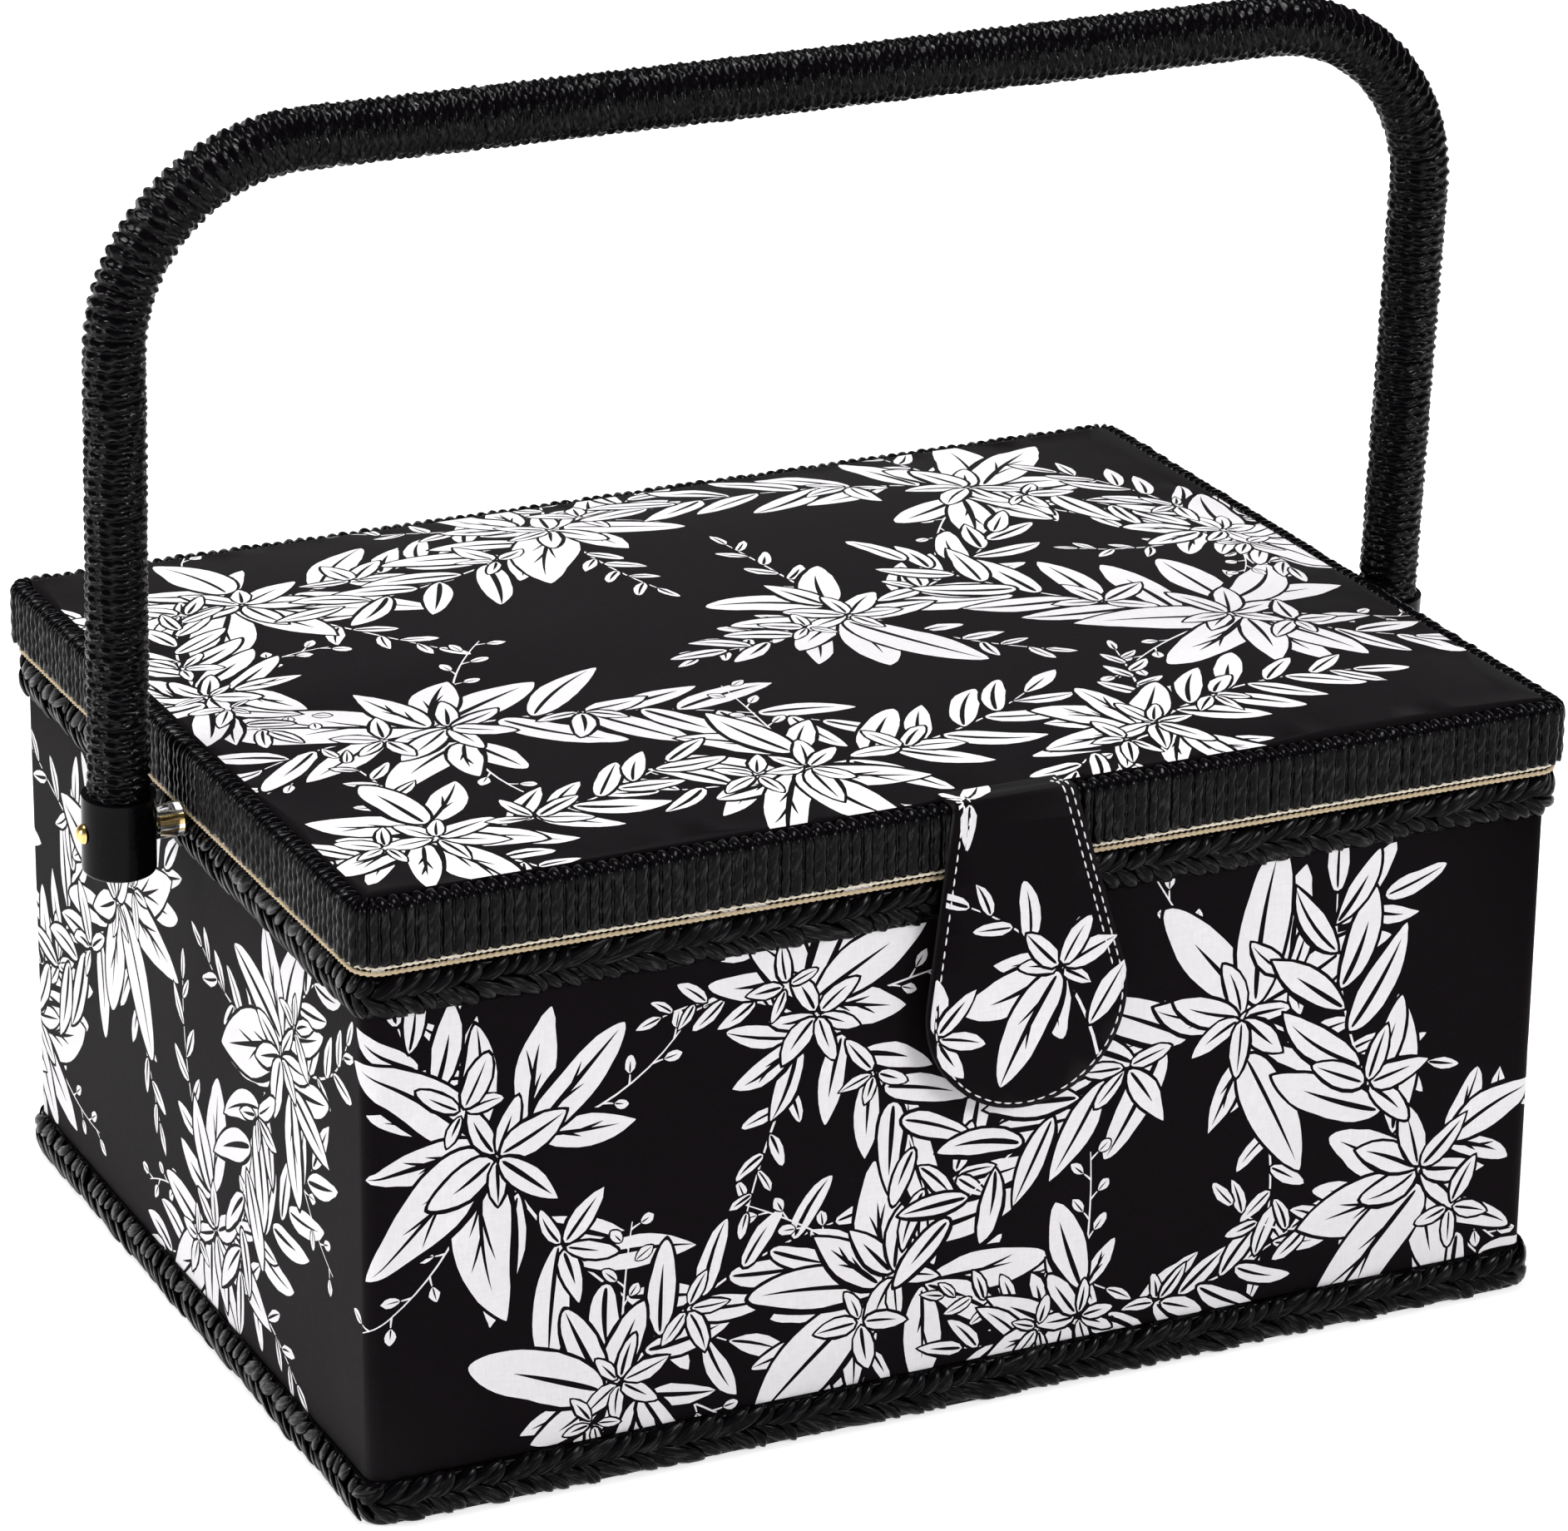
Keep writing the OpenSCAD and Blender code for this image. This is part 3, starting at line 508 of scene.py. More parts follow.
# Plaited braids round the rim and the base: two rows of flat strands that lean away from the middle,
# each strand a flattened tube with pointed ends, over a flat tape.
plait = {"corner": 4.5, "pitch": 4.5, "half": 2.0, "thick": 0.55, "lean": 33.0, "roll": 17.0, "bow": 0.9,
         "arch": (0.28, 0.38), "tape": 0.9, "tapeSteps": 420, "stations": 10, "round": 8,
         "uneven": {"lean": 7, "tall": 0.35, "place": 0.5, "arch": 0.18, "half": 0.12, "roll": 5}}


def makeBraid(name, node, body, seed):
    rng = np.random.default_rng(seed)
    low, high = boxOf(node)
    clothLow, clothHigh = boxOf("outer_fabric")
    width, depth = (clothHigh - clothLow)[:2]
    proud = (high[0] - clothHigh[0])
    middle, reach = (high[2] + low[2])/2, (high[2] - low[2])/2
    midWidth, midDepth, midCorner = width + proud, depth + proud, plait["corner"] + proud/2
    around = ringLength(midWidth, midDepth, midCorner)
    count = round(around/plait["pitch"])
    pitch = around/count
    # strands: the upper row first, then the lower row half a pitch on
    row = np.repeat([1.0, -1.0], count)[:, None, None]
    place = np.tile(np.arange(count)*pitch, 2)[:, None, None] + (row < 0)*pitch/2
    stray = {k: amount*rng.normal(0, 1, (2*count, 1, 1)) for k, amount in plait["uneven"].items()}
    lean = np.radians(plait["lean"] + stray["lean"])
    t = np.linspace(0.03, 0.97, plait["stations"])[None, :, None]
    ring = circle(plait["round"])
    tall = reach + 0.6 + stray["tall"]
    axisV = -0.9 + tall*t
    axisU = tall*(t - 0.5)/np.tan(lean) + stray["place"] + plait["bow"]*np.sin(np.pi*t)
    arch = proud*(plait["arch"][0] + plait["arch"][1]*np.sin(np.pi*t)**0.7) + stray["arch"]
    half = plait["half"]*(1 + stray["half"])*np.sin(np.pi*t)**0.6
    thick = plait["thick"]*np.sin(np.pi*t)**0.4
    roll = np.radians(plait["roll"] + stray["roll"])
    wide = half*np.cos(ring)
    fold = thick*np.sin(ring)*(1 - 0.25*np.cos(2*ring))
    side = wide*np.cos(roll) + fold*np.sin(roll)
    lift = fold*np.cos(roll) - wide*np.sin(roll)
    u = place + axisU - side*np.sin(lean)
    v = np.clip(row*(axisV + side*np.cos(lean)), -reach, reach)
    out = np.minimum(arch + lift, proud) - proud/2
    strands = ringPoint(u, out, middle + v, midWidth, midDepth, midCorner).reshape(-1, 3)
    perStrand = plait["stations"]*plait["round"]
    cell = gridFaces(plait["stations"], plait["round"], False, True)
    ends = endCaps(plait["stations"], plait["round"])
    # the lower row is a mirror image of the upper one, so its faces run the other way
    starts = np.arange(2*count)[:, None, None]*perStrand
    flips = (np.arange(2*count) >= count)[:, None, None]
    faces, caps = (np.where(flips, part[:, ::-1], part) + starts for part in (cell, ends))
    # the tape behind them
    section, _ = softLoop([(-proud/2 + plait["tape"], middle - reach + 0.4),
                           (-proud/2 + plait["tape"], middle + reach - 0.4),
                           (-proud/2, middle + reach - 0.4), (-proud/2, middle - reach + 0.4)],
                          [0.3, 0.3, 0.1, 0.1], 12)
    tapeU = np.linspace(0, around, plait["tapeSteps"], endpoint=False)
    tape = ringPoint(tapeU, section[:, :1], section[:, 1:], midWidth, midDepth, midCorner).reshape(-1, 3)
    tapeFaces = gridFaces(len(section), len(tapeU), True, True) + len(strands)
    along = (tall/np.sin(lean)*t + 13.7*place) + 0*side
    strandUv = np.stack([along, side + 0*along], -1).reshape(-1, 2)*mm
    tapeUv = np.stack([tape[:, 0] + tape[:, 1], tape[:, 2]], -1)*mm
    piece = makePiece(name, np.vstack([strands, tape])*mm,
                      [faces.reshape(-1, 4), caps.reshape(-1, plait["round"]), tapeFaces],
                      [braidStraw], np.vstack([strandUv, tapeUv]))
    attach(piece, body)
    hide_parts(node)


makeBraid("rimPlait", "rim_braid", "box", 5)
makeBraid("basePlait", "base_braid", "box", 6)
print("braids plaited")


# Cotton cords along the meeting edges of box and lid, each twisted from two strands.
edging = {"corner": 7.1, "lay": 3.4, "perLay": 8, "around": 14, "offset": 0.33, "strand": 0.33, "core": 0.4,
          "dent": 0.10, "dentStep": 24, "dentTurn": 0.4}


def makeEdging(name, node, body, material, seed):
    rng = np.random.default_rng(seed)
    low, high = boxOf(node)
    r = (high[2] - low[2])/2
    width, depth = (high - low)[:2] - 2*r
    corner = edging["corner"] - r
    around = ringLength(width, depth, corner)
    lays = round(around/edging["lay"])
    u = np.linspace(0, around, lays*edging["perLay"], endpoint=False)[None, :]
    ring = circle(edging["around"])[:, None]
    swing = ring - np.pi*2*u/(around/lays)
    offset, strand, every = edging["offset"], edging["strand"], edging["dentStep"]
    reach = offset*np.abs(np.cos(swing)) + np.sqrt(np.clip(strand**2 - (offset*np.sin(swing))**2, 0, None))
    reach = np.maximum(reach, edging["core"])*r/(offset + strand)
    # slow random dents along the cord
    walk = np.cumsum(rng.normal(0, 1, u.size))
    walk = np.interp(np.arange(u.size), np.arange(0, u.size, every), walk[::every] - np.mean(walk))
    dents = np.abs(edging["dent"]*np.sin(walk*edging["dentTurn"]))
    z = low[2] + r + reach*np.sin(ring)
    points = ringPoint(u, reach*np.cos(ring) - dents, z, width, depth, corner)*mm
    uv = np.stack([u + 0.6*ring, r*ring + 0*u], -1)*mm
    piece = makePiece(name, points.reshape(-1, 3), [gridFaces(edging["around"], u.size, True, True)],
                      [material], uv.reshape(-1, 2))
    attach(piece, body)
    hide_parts(node)


makeEdging("lidEdging", "lid_edge_cord", "lid", creamCotton, 21)
makeEdging("boxEdging", "box_edge_cord", "box", beigeCotton, 22)
print("edge cords laid")


# The print: white foliage on black cloth, drawn flat in millimetres as closed outlines of complex
# numbers. Each one covers what was drawn before it: first a black rim, then the white leaf, then its rib.
leafForm = {"swell": 0.44, "rim": 1.0, "rib": 1.3, "rough": 0.08}


def alongArc(t, at, turn, length, bend):
    # place and direction at the share t of an arc of that length that turns through bend
    bend = bend if abs(bend) > 1e-4 else 1e-4
    way = np.exp(1j*(turn + bend*(t - 0.5)))
    return at + length*np.exp(1j*turn)*(np.exp(1j*bend*(t - 0.5)) - np.exp(-0.5j*bend))/(1j*bend), way


def spotOn(t, at, turn, length, bend):
    # one place on the arc and the angle of its direction
    place, way = alongArc(np.array([t]), at, turn, length, bend)
    return place[0], np.angle(way[0])


def leafOutline(at, turn, length, width, bend, swell, count, rng=None, taper=0.82):
    # half the width follows t^a (1-t)^b and is widest at swell, with a blunter tip for a smaller taper b;
    # both edges are run through in turn
    t = (1 - np.cos(np.pi*np.arange(count + 1)/count))/2
    a = taper*swell/(1 - swell)
    half = width/2*(t/swell)**a*((1 - t)/(1 - swell))**taper
    if rng is not None:
        half = half + rng.normal(0, leafForm["rough"], count + 1)*(half > 0.4)
    place, way = alongArc(t, at, turn, length, bend)
    other = half if rng is None else half*(rng.uniform(0.82, 1.0) + 0.07*np.sin(9*t + rng.uniform(0, 6)))
    return np.concatenate([place - 1j*way*half, (place + 1j*way*other)[1:-1][::-1]])


def addLeaf(shapes, rng, at, turn, length, width, bend=0.0, swell=None, rim=None, rib=None, veins=0):
    swell = swell or leafForm["swell"] + rng.normal(0, 0.04)
    rim = leafForm["rim"]*min(1, 0.35 + length/34) if rim is None else rim
    rib = leafForm["rib"]*min(1, 0.30 + length/40) if rib is None else rib
    count = int(np.clip(length/1.9, 6, 18))
    taper = rng.uniform(0.58, 0.95)
    start = at - rim*np.exp(1j*(turn - bend/2))
    around = leafOutline(start, turn, length + 2.2*rim, width + 2*rim, bend, swell, count, None, taper)
    shapes.append((around, 0))
    shapes.append((leafOutline(at, turn, length, width, bend, swell, count, rng, taper), 1))
    if rib > 0:
        foot, _ = spotOn(0.03, at, turn, length, bend)
        reach = rng.uniform(0.6, 0.99)
        rib *= rng.uniform(0.8, 1.35)
        shapes.append((leafOutline(foot, turn - bend*(1 - reach)/2, length*reach, rib, bend*reach, 0.3,
                                   max(6, count - 3)), 0))
    for k in range(veins):
        foot, aim = spotOn(0.16 + 0.34*(k + 0.5)/veins + rng.normal(0, 0.02), at, turn, length, bend)
        side = 1 if k % 2 else -1
        aim += side*rng.uniform(0.22, 0.36)
        shapes.append((leafOutline(foot, aim, length*rng.uniform(0.2, 0.3), 0.8, side*0.2, 0.35, 5), 0))


def addStem(shapes, at, turn, length, bend, width=0.9):
    # a stem thins from its foot to its tip
    t = np.linspace(0, 1, 12)
    place, way = alongArc(t, at, turn, length, bend)
    half = width/2*(1 - 0.6*t)
    shapes.append((np.concatenate([place - 1j*way*half, (place + 1j*way*half)[::-1]]), 1))


def addFan(shapes, rng, at, turn, count, spread, length, width, veins=0):
    # leaves round one point, the outer ones first
    angles = turn + spread*(np.linspace(-0.5, 0.5, count) + rng.normal(0, 0.16/count, count))
    for k in np.argsort(-np.abs(angles - turn)):
        size = rng.uniform(0.6, 1.15)
        foot = at + 1.2*np.exp(1j*angles[k])
        addLeaf(shapes, rng, foot, angles[k], length*size, width*size*rng.uniform(0.85, 1.15),
                rng.normal(0, 0.28), veins=veins if rng.random() < 0.5 else 0)


def addBranch(shapes, rng, at, turn, length, bend, count, leaf, width, spread):
    # leaves set by turns on both sides of a bent stem; they lean towards its tip, curve back to it and get
    # smaller on the way there, and one ends it
    addStem(shapes, at, turn, length, bend)
    for k in range(count):
        t = 0.10 + 0.86*(k + 0.5 + rng.normal(0, 0.12))/count
        foot, aim = spotOn(t, at, turn, length, bend)
        side = 1 if k % 2 else -1
        size = (1.12 - 0.5*t)*rng.uniform(0.8, 1.15)
        aim += side*spread*rng.uniform(0.7, 1.25)*(1.1 - 0.4*t)
        addLeaf(shapes, rng, foot, aim, leaf*size, width*size, -side*rng.uniform(0.0, 0.55))
    foot, aim = spotOn(1.0, at, turn, length, bend)
    addLeaf(shapes, rng, foot, aim, leaf*0.62, width*0.62, rng.normal(0, 0.2))


def addBuds(shapes, rng, at, turn, length, bend, count):
    # a thin stem with stalked buds
    addStem(shapes, at, turn, length, bend, 0.7)
    for k in range(count):
        foot, aim = spotOn(0.3 + 0.7*(k + 0.6)/count, at, turn, length, bend)
        side = (1 if k % 2 else -1)*rng.uniform(0.5, 1.0)
        aim += side
        addStem(shapes, foot, aim, 3.4, 0.2*side, 0.6)
        addLeaf(shapes, rng, foot + 3.0*np.exp(1j*aim), aim, rng.uniform(3.6, 5.6), 3.0, 0, 0.5, 0.4, 0.4)


def addSpray(shapes, rng, at, turn, size=1.0, hand=1):
    # twigs, a long arched branch and a short one behind it, broad leaves to one side, then small fans
    for away, reach in ((1.15*hand, 58), (-1.35*hand, 50), (2.5*hand, 46)):
        aim = turn + away + rng.normal(0, 0.2)
        foot = at + 8*size*np.exp(1j*aim)
        if rng.random() < 0.6:
            addBranch(shapes, rng, foot, aim, reach*size, rng.normal(0, 0.6), 7, 14*size, 5.0*size, 0.9)
        else:
            addBuds(shapes, rng, foot, aim, reach*0.9*size, rng.normal(0, 0.8), 5)
    back = turn + 2.8*hand + rng.normal(0, 0.2)
    addBranch(shapes, rng, at, back, 44*size, -0.5*hand, 5, 27*size, 8.6*size, 0.75)
    addBranch(shapes, rng, at, turn, 84*size, 0.7*hand, 9, 31*size, 9.4*size, 0.75)
    addFan(shapes, rng, at - 4*np.exp(1j*turn), turn - 1.9*hand, 4, 2.3, 42*size, 15.5*size, 3)
    beside = at + 9*size*np.exp(1j*(turn + 1.2*hand))
    addFan(shapes, rng, beside, turn + 1.5*hand, 3, 1.5, 31*size, 11.5*size, 2)
    addFan(shapes, rng, at, turn + 0.6*hand, 6, 4.6, 17*size, 6.8*size)
    foot, aim = spotOn(0.36, at, turn, 84*size, 0.7*hand)
    addFan(shapes, rng, foot, aim + 1.2*hand, 4, 3.4, 15*size, 5.6*size)
    addFan(shapes, rng, at + 15*size*np.exp(1j*back), back, 4, 3.8, 12*size, 4.8*size)


# Cloth: the flat cut is split along every line of the print, so the ink follows its outlines exactly,
# then it is bent into place with an inner face and a rim.
def facing(plane, cells):
    # the sum of the flat cells' areas, positive where they run anticlockwise
    corner = plane[cells]
    return np.cross(corner[:, 1] - corner[:, 0], corner[:, 2] - corner[:, 0]).sum()


def splitFlat(loops, ends, dots):
    # loops, crease ends and dots as one flat net: its points, its triangles, the loops that each triangle
    # lies in, and the inputs that each point came from
    starts = np.cumsum([0] + [len(loop) for loop in loops])
    edges = [(starts[-1] + k, starts[-1] + k + 1) for k in range(0, len(ends), 2)]
    faces = [list(range(*span)) for span in zip(starts[:-1], starts[1:])]
    cut = delaunay_2d_cdt([Vector((p.real, p.imag)) for p in np.concatenate([*loops, ends, dots])],
                          edges, faces, 1, 1e-3, True)
    return np.array([tuple(p) for p in cut[0]]), np.array(cut[2]), cut[5], cut[3]


def clothPiece(name, outline, shapes, creases, dots, outer, inner):
    inks = np.array([0] + [s[1] for s in shapes])
    ends = np.asarray(creases).ravel()
    plane, cells, owners, _ = splitFlat([np.asarray(outline)] + [s[0] for s in shapes], ends, dots)
    # the shape drawn last owns a cell, and what lies outside the cut is dropped
    owners = np.array([max(ids) if 0 in ids else -1 for ids in owners])
    cells, ink = cells[owners >= 0], inks[owners[owners >= 0]]
    cells = cells if facing(plane, cells) > 0 else cells[:, ::-1]
    # edges that have a cell on one side only run round the cut
    pairs = np.concatenate([cells[:, [0, 1]], cells[:, [1, 2]], cells[:, [2, 0]]])
    code, back = pairs[:, 0]*len(plane) + pairs[:, 1], pairs[:, 1]*len(plane) + pairs[:, 0]
    border = pairs[~np.isin(code, back)]
    following = dict(border.tolist())
    loop = [int(border[0, 0])]
    while following[loop[-1]] != loop[0]:
        loop.append(following[loop[-1]])
    innerPlane, innerCells, owners, origins = splitFlat([plane[loop, 0] + 1j*plane[loop, 1]], ends, dots)
    innerCells = innerCells[[len(ids) > 0 for ids in owners]]
    innerCells = innerCells[:, ::-1] if facing(innerPlane, innerCells) > 0 else innerCells
    match = {i: k for k, ids in enumerate(origins) for i in ids}
    shift = len(plane)
    under = shift + np.array([match[k] for k in range(len(loop))])
    rimCells = np.stack([np.roll(loop, -1), loop, under, np.roll(under, -1)], 1)
    points = np.vstack([outer(plane[:, 0], plane[:, 1]), inner(innerPlane[:, 0], innerPlane[:, 1])])*mm
    used, where = np.unique(np.concatenate([cells.ravel(), innerCells.ravel() + shift, rimCells.ravel()]),
                            return_inverse=True)
    flatUv = np.vstack([plane, innerPlane])*mm
    a, b = cells.size, innerCells.size
    faceSets = [where[:a].reshape(-1, 3), where[a:a + b].reshape(-1, 3), where[a + b:].reshape(-1, 4)]
    picks = np.concatenate([ink, np.zeros(len(innerCells) + len(rimCells), int)])
    piece = makePiece(name, points[used], faceSets, [blackCloth, whitePrint], flatUv[used], picks)
    print(name, len(used), "points,", round(float(ink.mean())*100), "percent of the cells are white")
    return piece


def dotsOver(x0, x1, y0, y1, step):
    x, y = np.meshgrid(np.arange(x0 + step/2, x1, step), np.arange(y0 + step/2, y1, step))
    return (x + 0.37*step*((np.arange(len(y)) % 2)[:, None] - 0.5) + 1j*y).ravel()


# Outer cloth: one strip round the box, joined at the middle of the back.
strip = {"corner": 4.5, "thick": 0.8, "seed": 31, "cornerLines": 7,
         "sprays": [(-540, 50, 0.4, 1.0, 1), (-452, 104, 5.6, 1.05, -1), (-396, 40, 1.1, 0.95, 1),
                    (-330, 98, 3.7, 1.0, -1), (-262, 34, 0.6, 1.0, 1), (-214, 102, 4.3, 0.95, 1),
                    (-128, 92, 5.5, 1.05, 1), (-96, 26, 0.5, 0.8, -1), (-22, 40, 0.75, 0.95, -1),
                    (-44, 114, 5.2, 0.8, -1),
                    (74, 92, 3.6, 1.1, 1), (30, 18, 0.2, 0.75, 1), (128, 40, 1.9, 1.05, -1),
                    (216, 96, 5.9, 1.0, 1), (282, 40, 2.5, 1.05, -1), (352, 92, 0.5, 1.0, 1),
                    (428, 36, 1.3, 1.0, -1), (500, 96, 3.5, 1.05, 1), (550, 30, 2.2, 0.8, -1)]}


def makeOuterCloth():
    rng = np.random.default_rng(strip["seed"])
    low, high = boxOf("outer_fabric")
    width, depth = (high - low)[:2]
    corner = strip["corner"]
    half = ringLength(width, depth, corner)/2
    shapes = []
    for x, z, turn, size, hand in strip["sprays"]:
        addSpray(shapes, rng, x + 1j*z, turn, size, hand)
    shapes = [s for s in shapes if abs(s[0].real).max() < half - 0.5]
    outline = np.array([-half + 1j*low[2], half + 1j*low[2], half + 1j*high[2], -half + 1j*high[2]])
    a, h, q = width/2 - corner, depth/2 - corner, math.pi*corner/2
    starts = np.array([a, a + q + 2*h, -a - q, -a - 2*q - 2*h])
    lines = (starts[:, None] + np.linspace(0, q, strip["cornerLines"])).ravel()
    creases = np.stack([lines + 1j*(low[2] - 1), lines + 1j*(high[2] + 1)], 1)

    def bentAt(out):
        return lambda u, z: ringPoint(u, out, z, width, depth, corner)

    piece = clothPiece("boxCloth", outline, shapes, creases, [], bentAt(0.0), bentAt(-strip["thick"]))
    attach(piece, "box")
    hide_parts("outer_fabric")


makeOuterCloth()
print("box covered")


# Lid top: printed cloth over padding, crowned, with slight puckers where it is tucked behind the border.
lidTop = {"crown": 5.0, "power": 4, "round": 1.6, "pucker": 0.45, "puckerWaves": (4.1, 2.3),
          "puckerFade": (5, 9), "sag": 0.22, "sagWaves": (23, 31), "sagFade": 20, "dots": 7.0, "seed": 47,
          "sprays": [(-118, 70, 0.35, 1.08, 1), (-22, 92, 3.6, 1.0, -1), (96, 78, 2.9, 1.08, 1),
                     (-104, -34, 5.9, 1.12, -1), (20, -4, 0.6, 0.95, 1), (112, -40, 2.3, 1.1, -1),
                     (-34, -92, 0.3, 0.9, 1), (58, -98, 0.2, 0.8, -1), (146, 24, 1.9, 0.75, 1),
                     (-148, 16, 1.3, 0.7, -1), (-132, -94, 0.25, 0.85, 1)]}


def makeLidTop():
    rng = np.random.default_rng(lidTop["seed"])
    low, high = boxOf("lid_fabric")
    under = boxOf("lid_padding")[0]
    halfW, halfD = high[0], high[1]
    edgeZ = high[2] - lidTop["crown"]
    shapes = []
    for x, y, turn, size, hand in lidTop["sprays"]:
        addSpray(shapes, rng, x + 1j*y, turn, size, hand)
    turns = np.linspace(0, np.pi/2, 6)
    r = lidTop["round"]
    outline = np.concatenate([sx*(halfW - r) + 1j*sy*(halfD - r) + r*np.exp(1j*(turns + start))
                              for sx, sy, start in ((1, 1, 0), (-1, 1, np.pi/2), (-1, -1, np.pi),
                                                    (1, -1, 1.5*np.pi))])

    def crown(x, y):
        return lidTop["crown"]*(1 - np.abs(x/halfW)**lidTop["power"])*(1 - np.abs(y/halfD)**lidTop["power"])

    def outer(x, y):
        # the crown, less a soft sag, with puckers that fade out within about 20 mm of the edge
        edge = np.minimum(halfW - np.abs(x), halfD - np.abs(y))
        along = np.where(halfW - np.abs(x) < halfD - np.abs(y), y, x)
        (long, short), (start, fall) = lidTop["puckerWaves"], lidTop["puckerFade"]
        wide, deep = lidTop["sagWaves"]
        fade = np.clip(edge/start, 0, 1)*np.exp(-edge/fall)
        pucker = lidTop["pucker"]*fade*(np.sin(along/long) + 0.7*np.sin(along/short + 1.1) - 1)
        sag = lidTop["sag"]*(np.sin(x/wide)*np.sin(y/deep) - 1)*np.clip(edge/lidTop["sagFade"], 0, 1)
        return np.stack([x, y, edgeZ + crown(x, y) + pucker + sag], -1)

    def inner(x, y):
        return np.stack([x, y, np.full_like(x, under[2])], -1)

    dots = dotsOver(-halfW, halfW, -halfD, halfD, lidTop["dots"])
    piece = clothPiece("lidPad", outline, shapes, [], dots, outer, inner)
    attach(piece, "lid")
    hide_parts("lid_fabric", "lid_padding")


makeLidTop()
print("lid covered")


# Closure flap: a doubled, stiffened tongue of the same cloth that turns down over the border.
flap = {"neck": 31.6, "end": 54.0, "length": 81.5, "lean": 4.7, "thick": 2.8, "tuck": 2.6, "drop": 1.3,
        "dropFrom": 2.5, "dropOver": 6, "cut": 3, "cutIn": 1.9, "under": 0.6, "dots": 9.0, "seed": 52,
        "creases": (-4.5, -3.0, -2.0, -1.1, -0.55, 0, 0.55, 1.1, 2.2, 3.5, 5.0, 6.5), "reach": 60}


def flapFrame():
    low, high = boxOf("closure_flap")
    radius = flap["thick"]/2
    return {"x": (low[0] + high[0])/2 - flap["lean"], "y": low[1] + radius, "z": high[2] - radius,
            "radius": radius, "quarter": math.pi*radius/2, "back": boxOf("flap_root")[1][1] + flap["tuck"]}


def flapPlace(a, b, lift=0.0):
    # across the flap and along it from the fold: level on the lid, a quarter circle, then straight down;
    # the level part sinks to the lid's cloth at its back end
    at = flapFrame()
    quarter, r = at["quarter"], at["radius"] + lift
    turn = np.clip((quarter/2 - b)/quarter, 0, 1)*np.pi/2
    rest = np.clip((b - flap["dropFrom"])/flap["dropOver"], 0, 1)
    sink = flap["drop"]*rest**2*(3 - 2*rest)
    y = at["y"] - np.sin(turn)*r + np.maximum(b - quarter/2, 0)
    z = at["z"] + np.cos(turn)*r + np.minimum(b + quarter/2, 0) - sink
    return np.stack([at["x"] + a + 0*y, y, z], -1)


def flapBack(a, b):
    # the side that faces the border, with the inside of the fold cut short
    at, cut = flapFrame(), flap["cut"]
    fold, under = at["z"] + at["quarter"]/2, at["z"] - flap["under"]
    k = np.clip((b + cut)/(2*cut), 0, 1)
    y = at["y"] + at["radius"] + flap["cutIn"]*k + np.maximum(b - cut, 0)
    z = np.where(b < -cut, fold + b, fold - cut + k*(under - fold + cut))
    return np.stack([at["x"] + a + 0*y, y, z], -1)


def flapOutline(inset, count=40):
    # a neck that runs tangent into a round end, drawn inset from its edge, anticlockwise from the lower end
    at = flapFrame()
    top = at["back"] - at["y"] + at["quarter"]/2
    r, half = flap["end"]/2 - inset, flap["neck"]/2 - inset
    low = -(flap["length"] - flap["end"]/2) - at["quarter"]/2
    centre = flap["lean"] + 1j*low
    ends = [-half + 0j, half + 0j]
    angles = [np.angle(e - centre) + s*np.arccos(r/abs(e - centre)) for e, s in zip(ends, (1, -1))]
    arc = centre + r*np.exp(1j*np.linspace(angles[0], angles[1] + 2*np.pi, count))
    sides = np.linspace(0, 1, 14)[1:]
    right = arc[-1] + (ends[1] - arc[-1])*sides
    left = ends[0] + (arc[0] - ends[0])*sides[:-1]
    neck = [half + 1j*(top - inset), -half + 1j*(top - inset)]
    return np.concatenate([arc, right, neck, ends[:1], left])


def makeFlap():
    rng = np.random.default_rng(flap["seed"])
    at = flapFrame()
    shapes = []
    addBranch(shapes, rng, 24 - 72j, 2.25, 60, 0.9, 7, 18, 6.6, 0.9)
    addFan(shapes, rng, 13 - 47j, 4.1, 3, 1.3, 29, 11.5, 2)
    addFan(shapes, rng, 13 - 47j, 1.2, 5, 3.6, 14, 5.6)
    addFan(shapes, rng, -13 + 1j, 2.6, 4, 3.8, 15, 5.8)
    addFan(shapes, rng, -21 - 60j, 0.3, 4, 2.6, 14, 5.4)
    bends = 1j*np.array(flap["creases"])
    creases = np.stack([bends - flap["reach"], bends + flap["reach"]], 1)
    dots = dotsOver(-26, 36, -84, -6, flap["dots"])
    piece = clothPiece("flapCloth", flapOutline(0.0), shapes, creases, dots, flapPlace, flapBack)
    crease = at["z"] + at["radius"]
    start = Vector((at["x"], at["y"] + 1.8, crease + 0.6))*mm
    end = Vector((at["x"], at["y"] - 1.4, at["z"] - 1.8))*mm
    return piece, start, end


flapPiece, flapStart, flapEnd = makeFlap()
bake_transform(flapPiece)
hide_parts("closure_flap", "flap_root")
print("flap made")


# Topstitching: short raised stitches a little inside the flap's edge, doubled along the neck.
stitch = {"length": 2.2, "gap": 0.9, "width": 0.44, "height": 0.24, "proud": 0.20, "sunk": 0.06,
          "uneven": 0.12, "inset": 1.35, "second": 3.3, "rightTo": -52, "leftTo": -16, "stations": 7,
          "round": 6, "seed": 8}


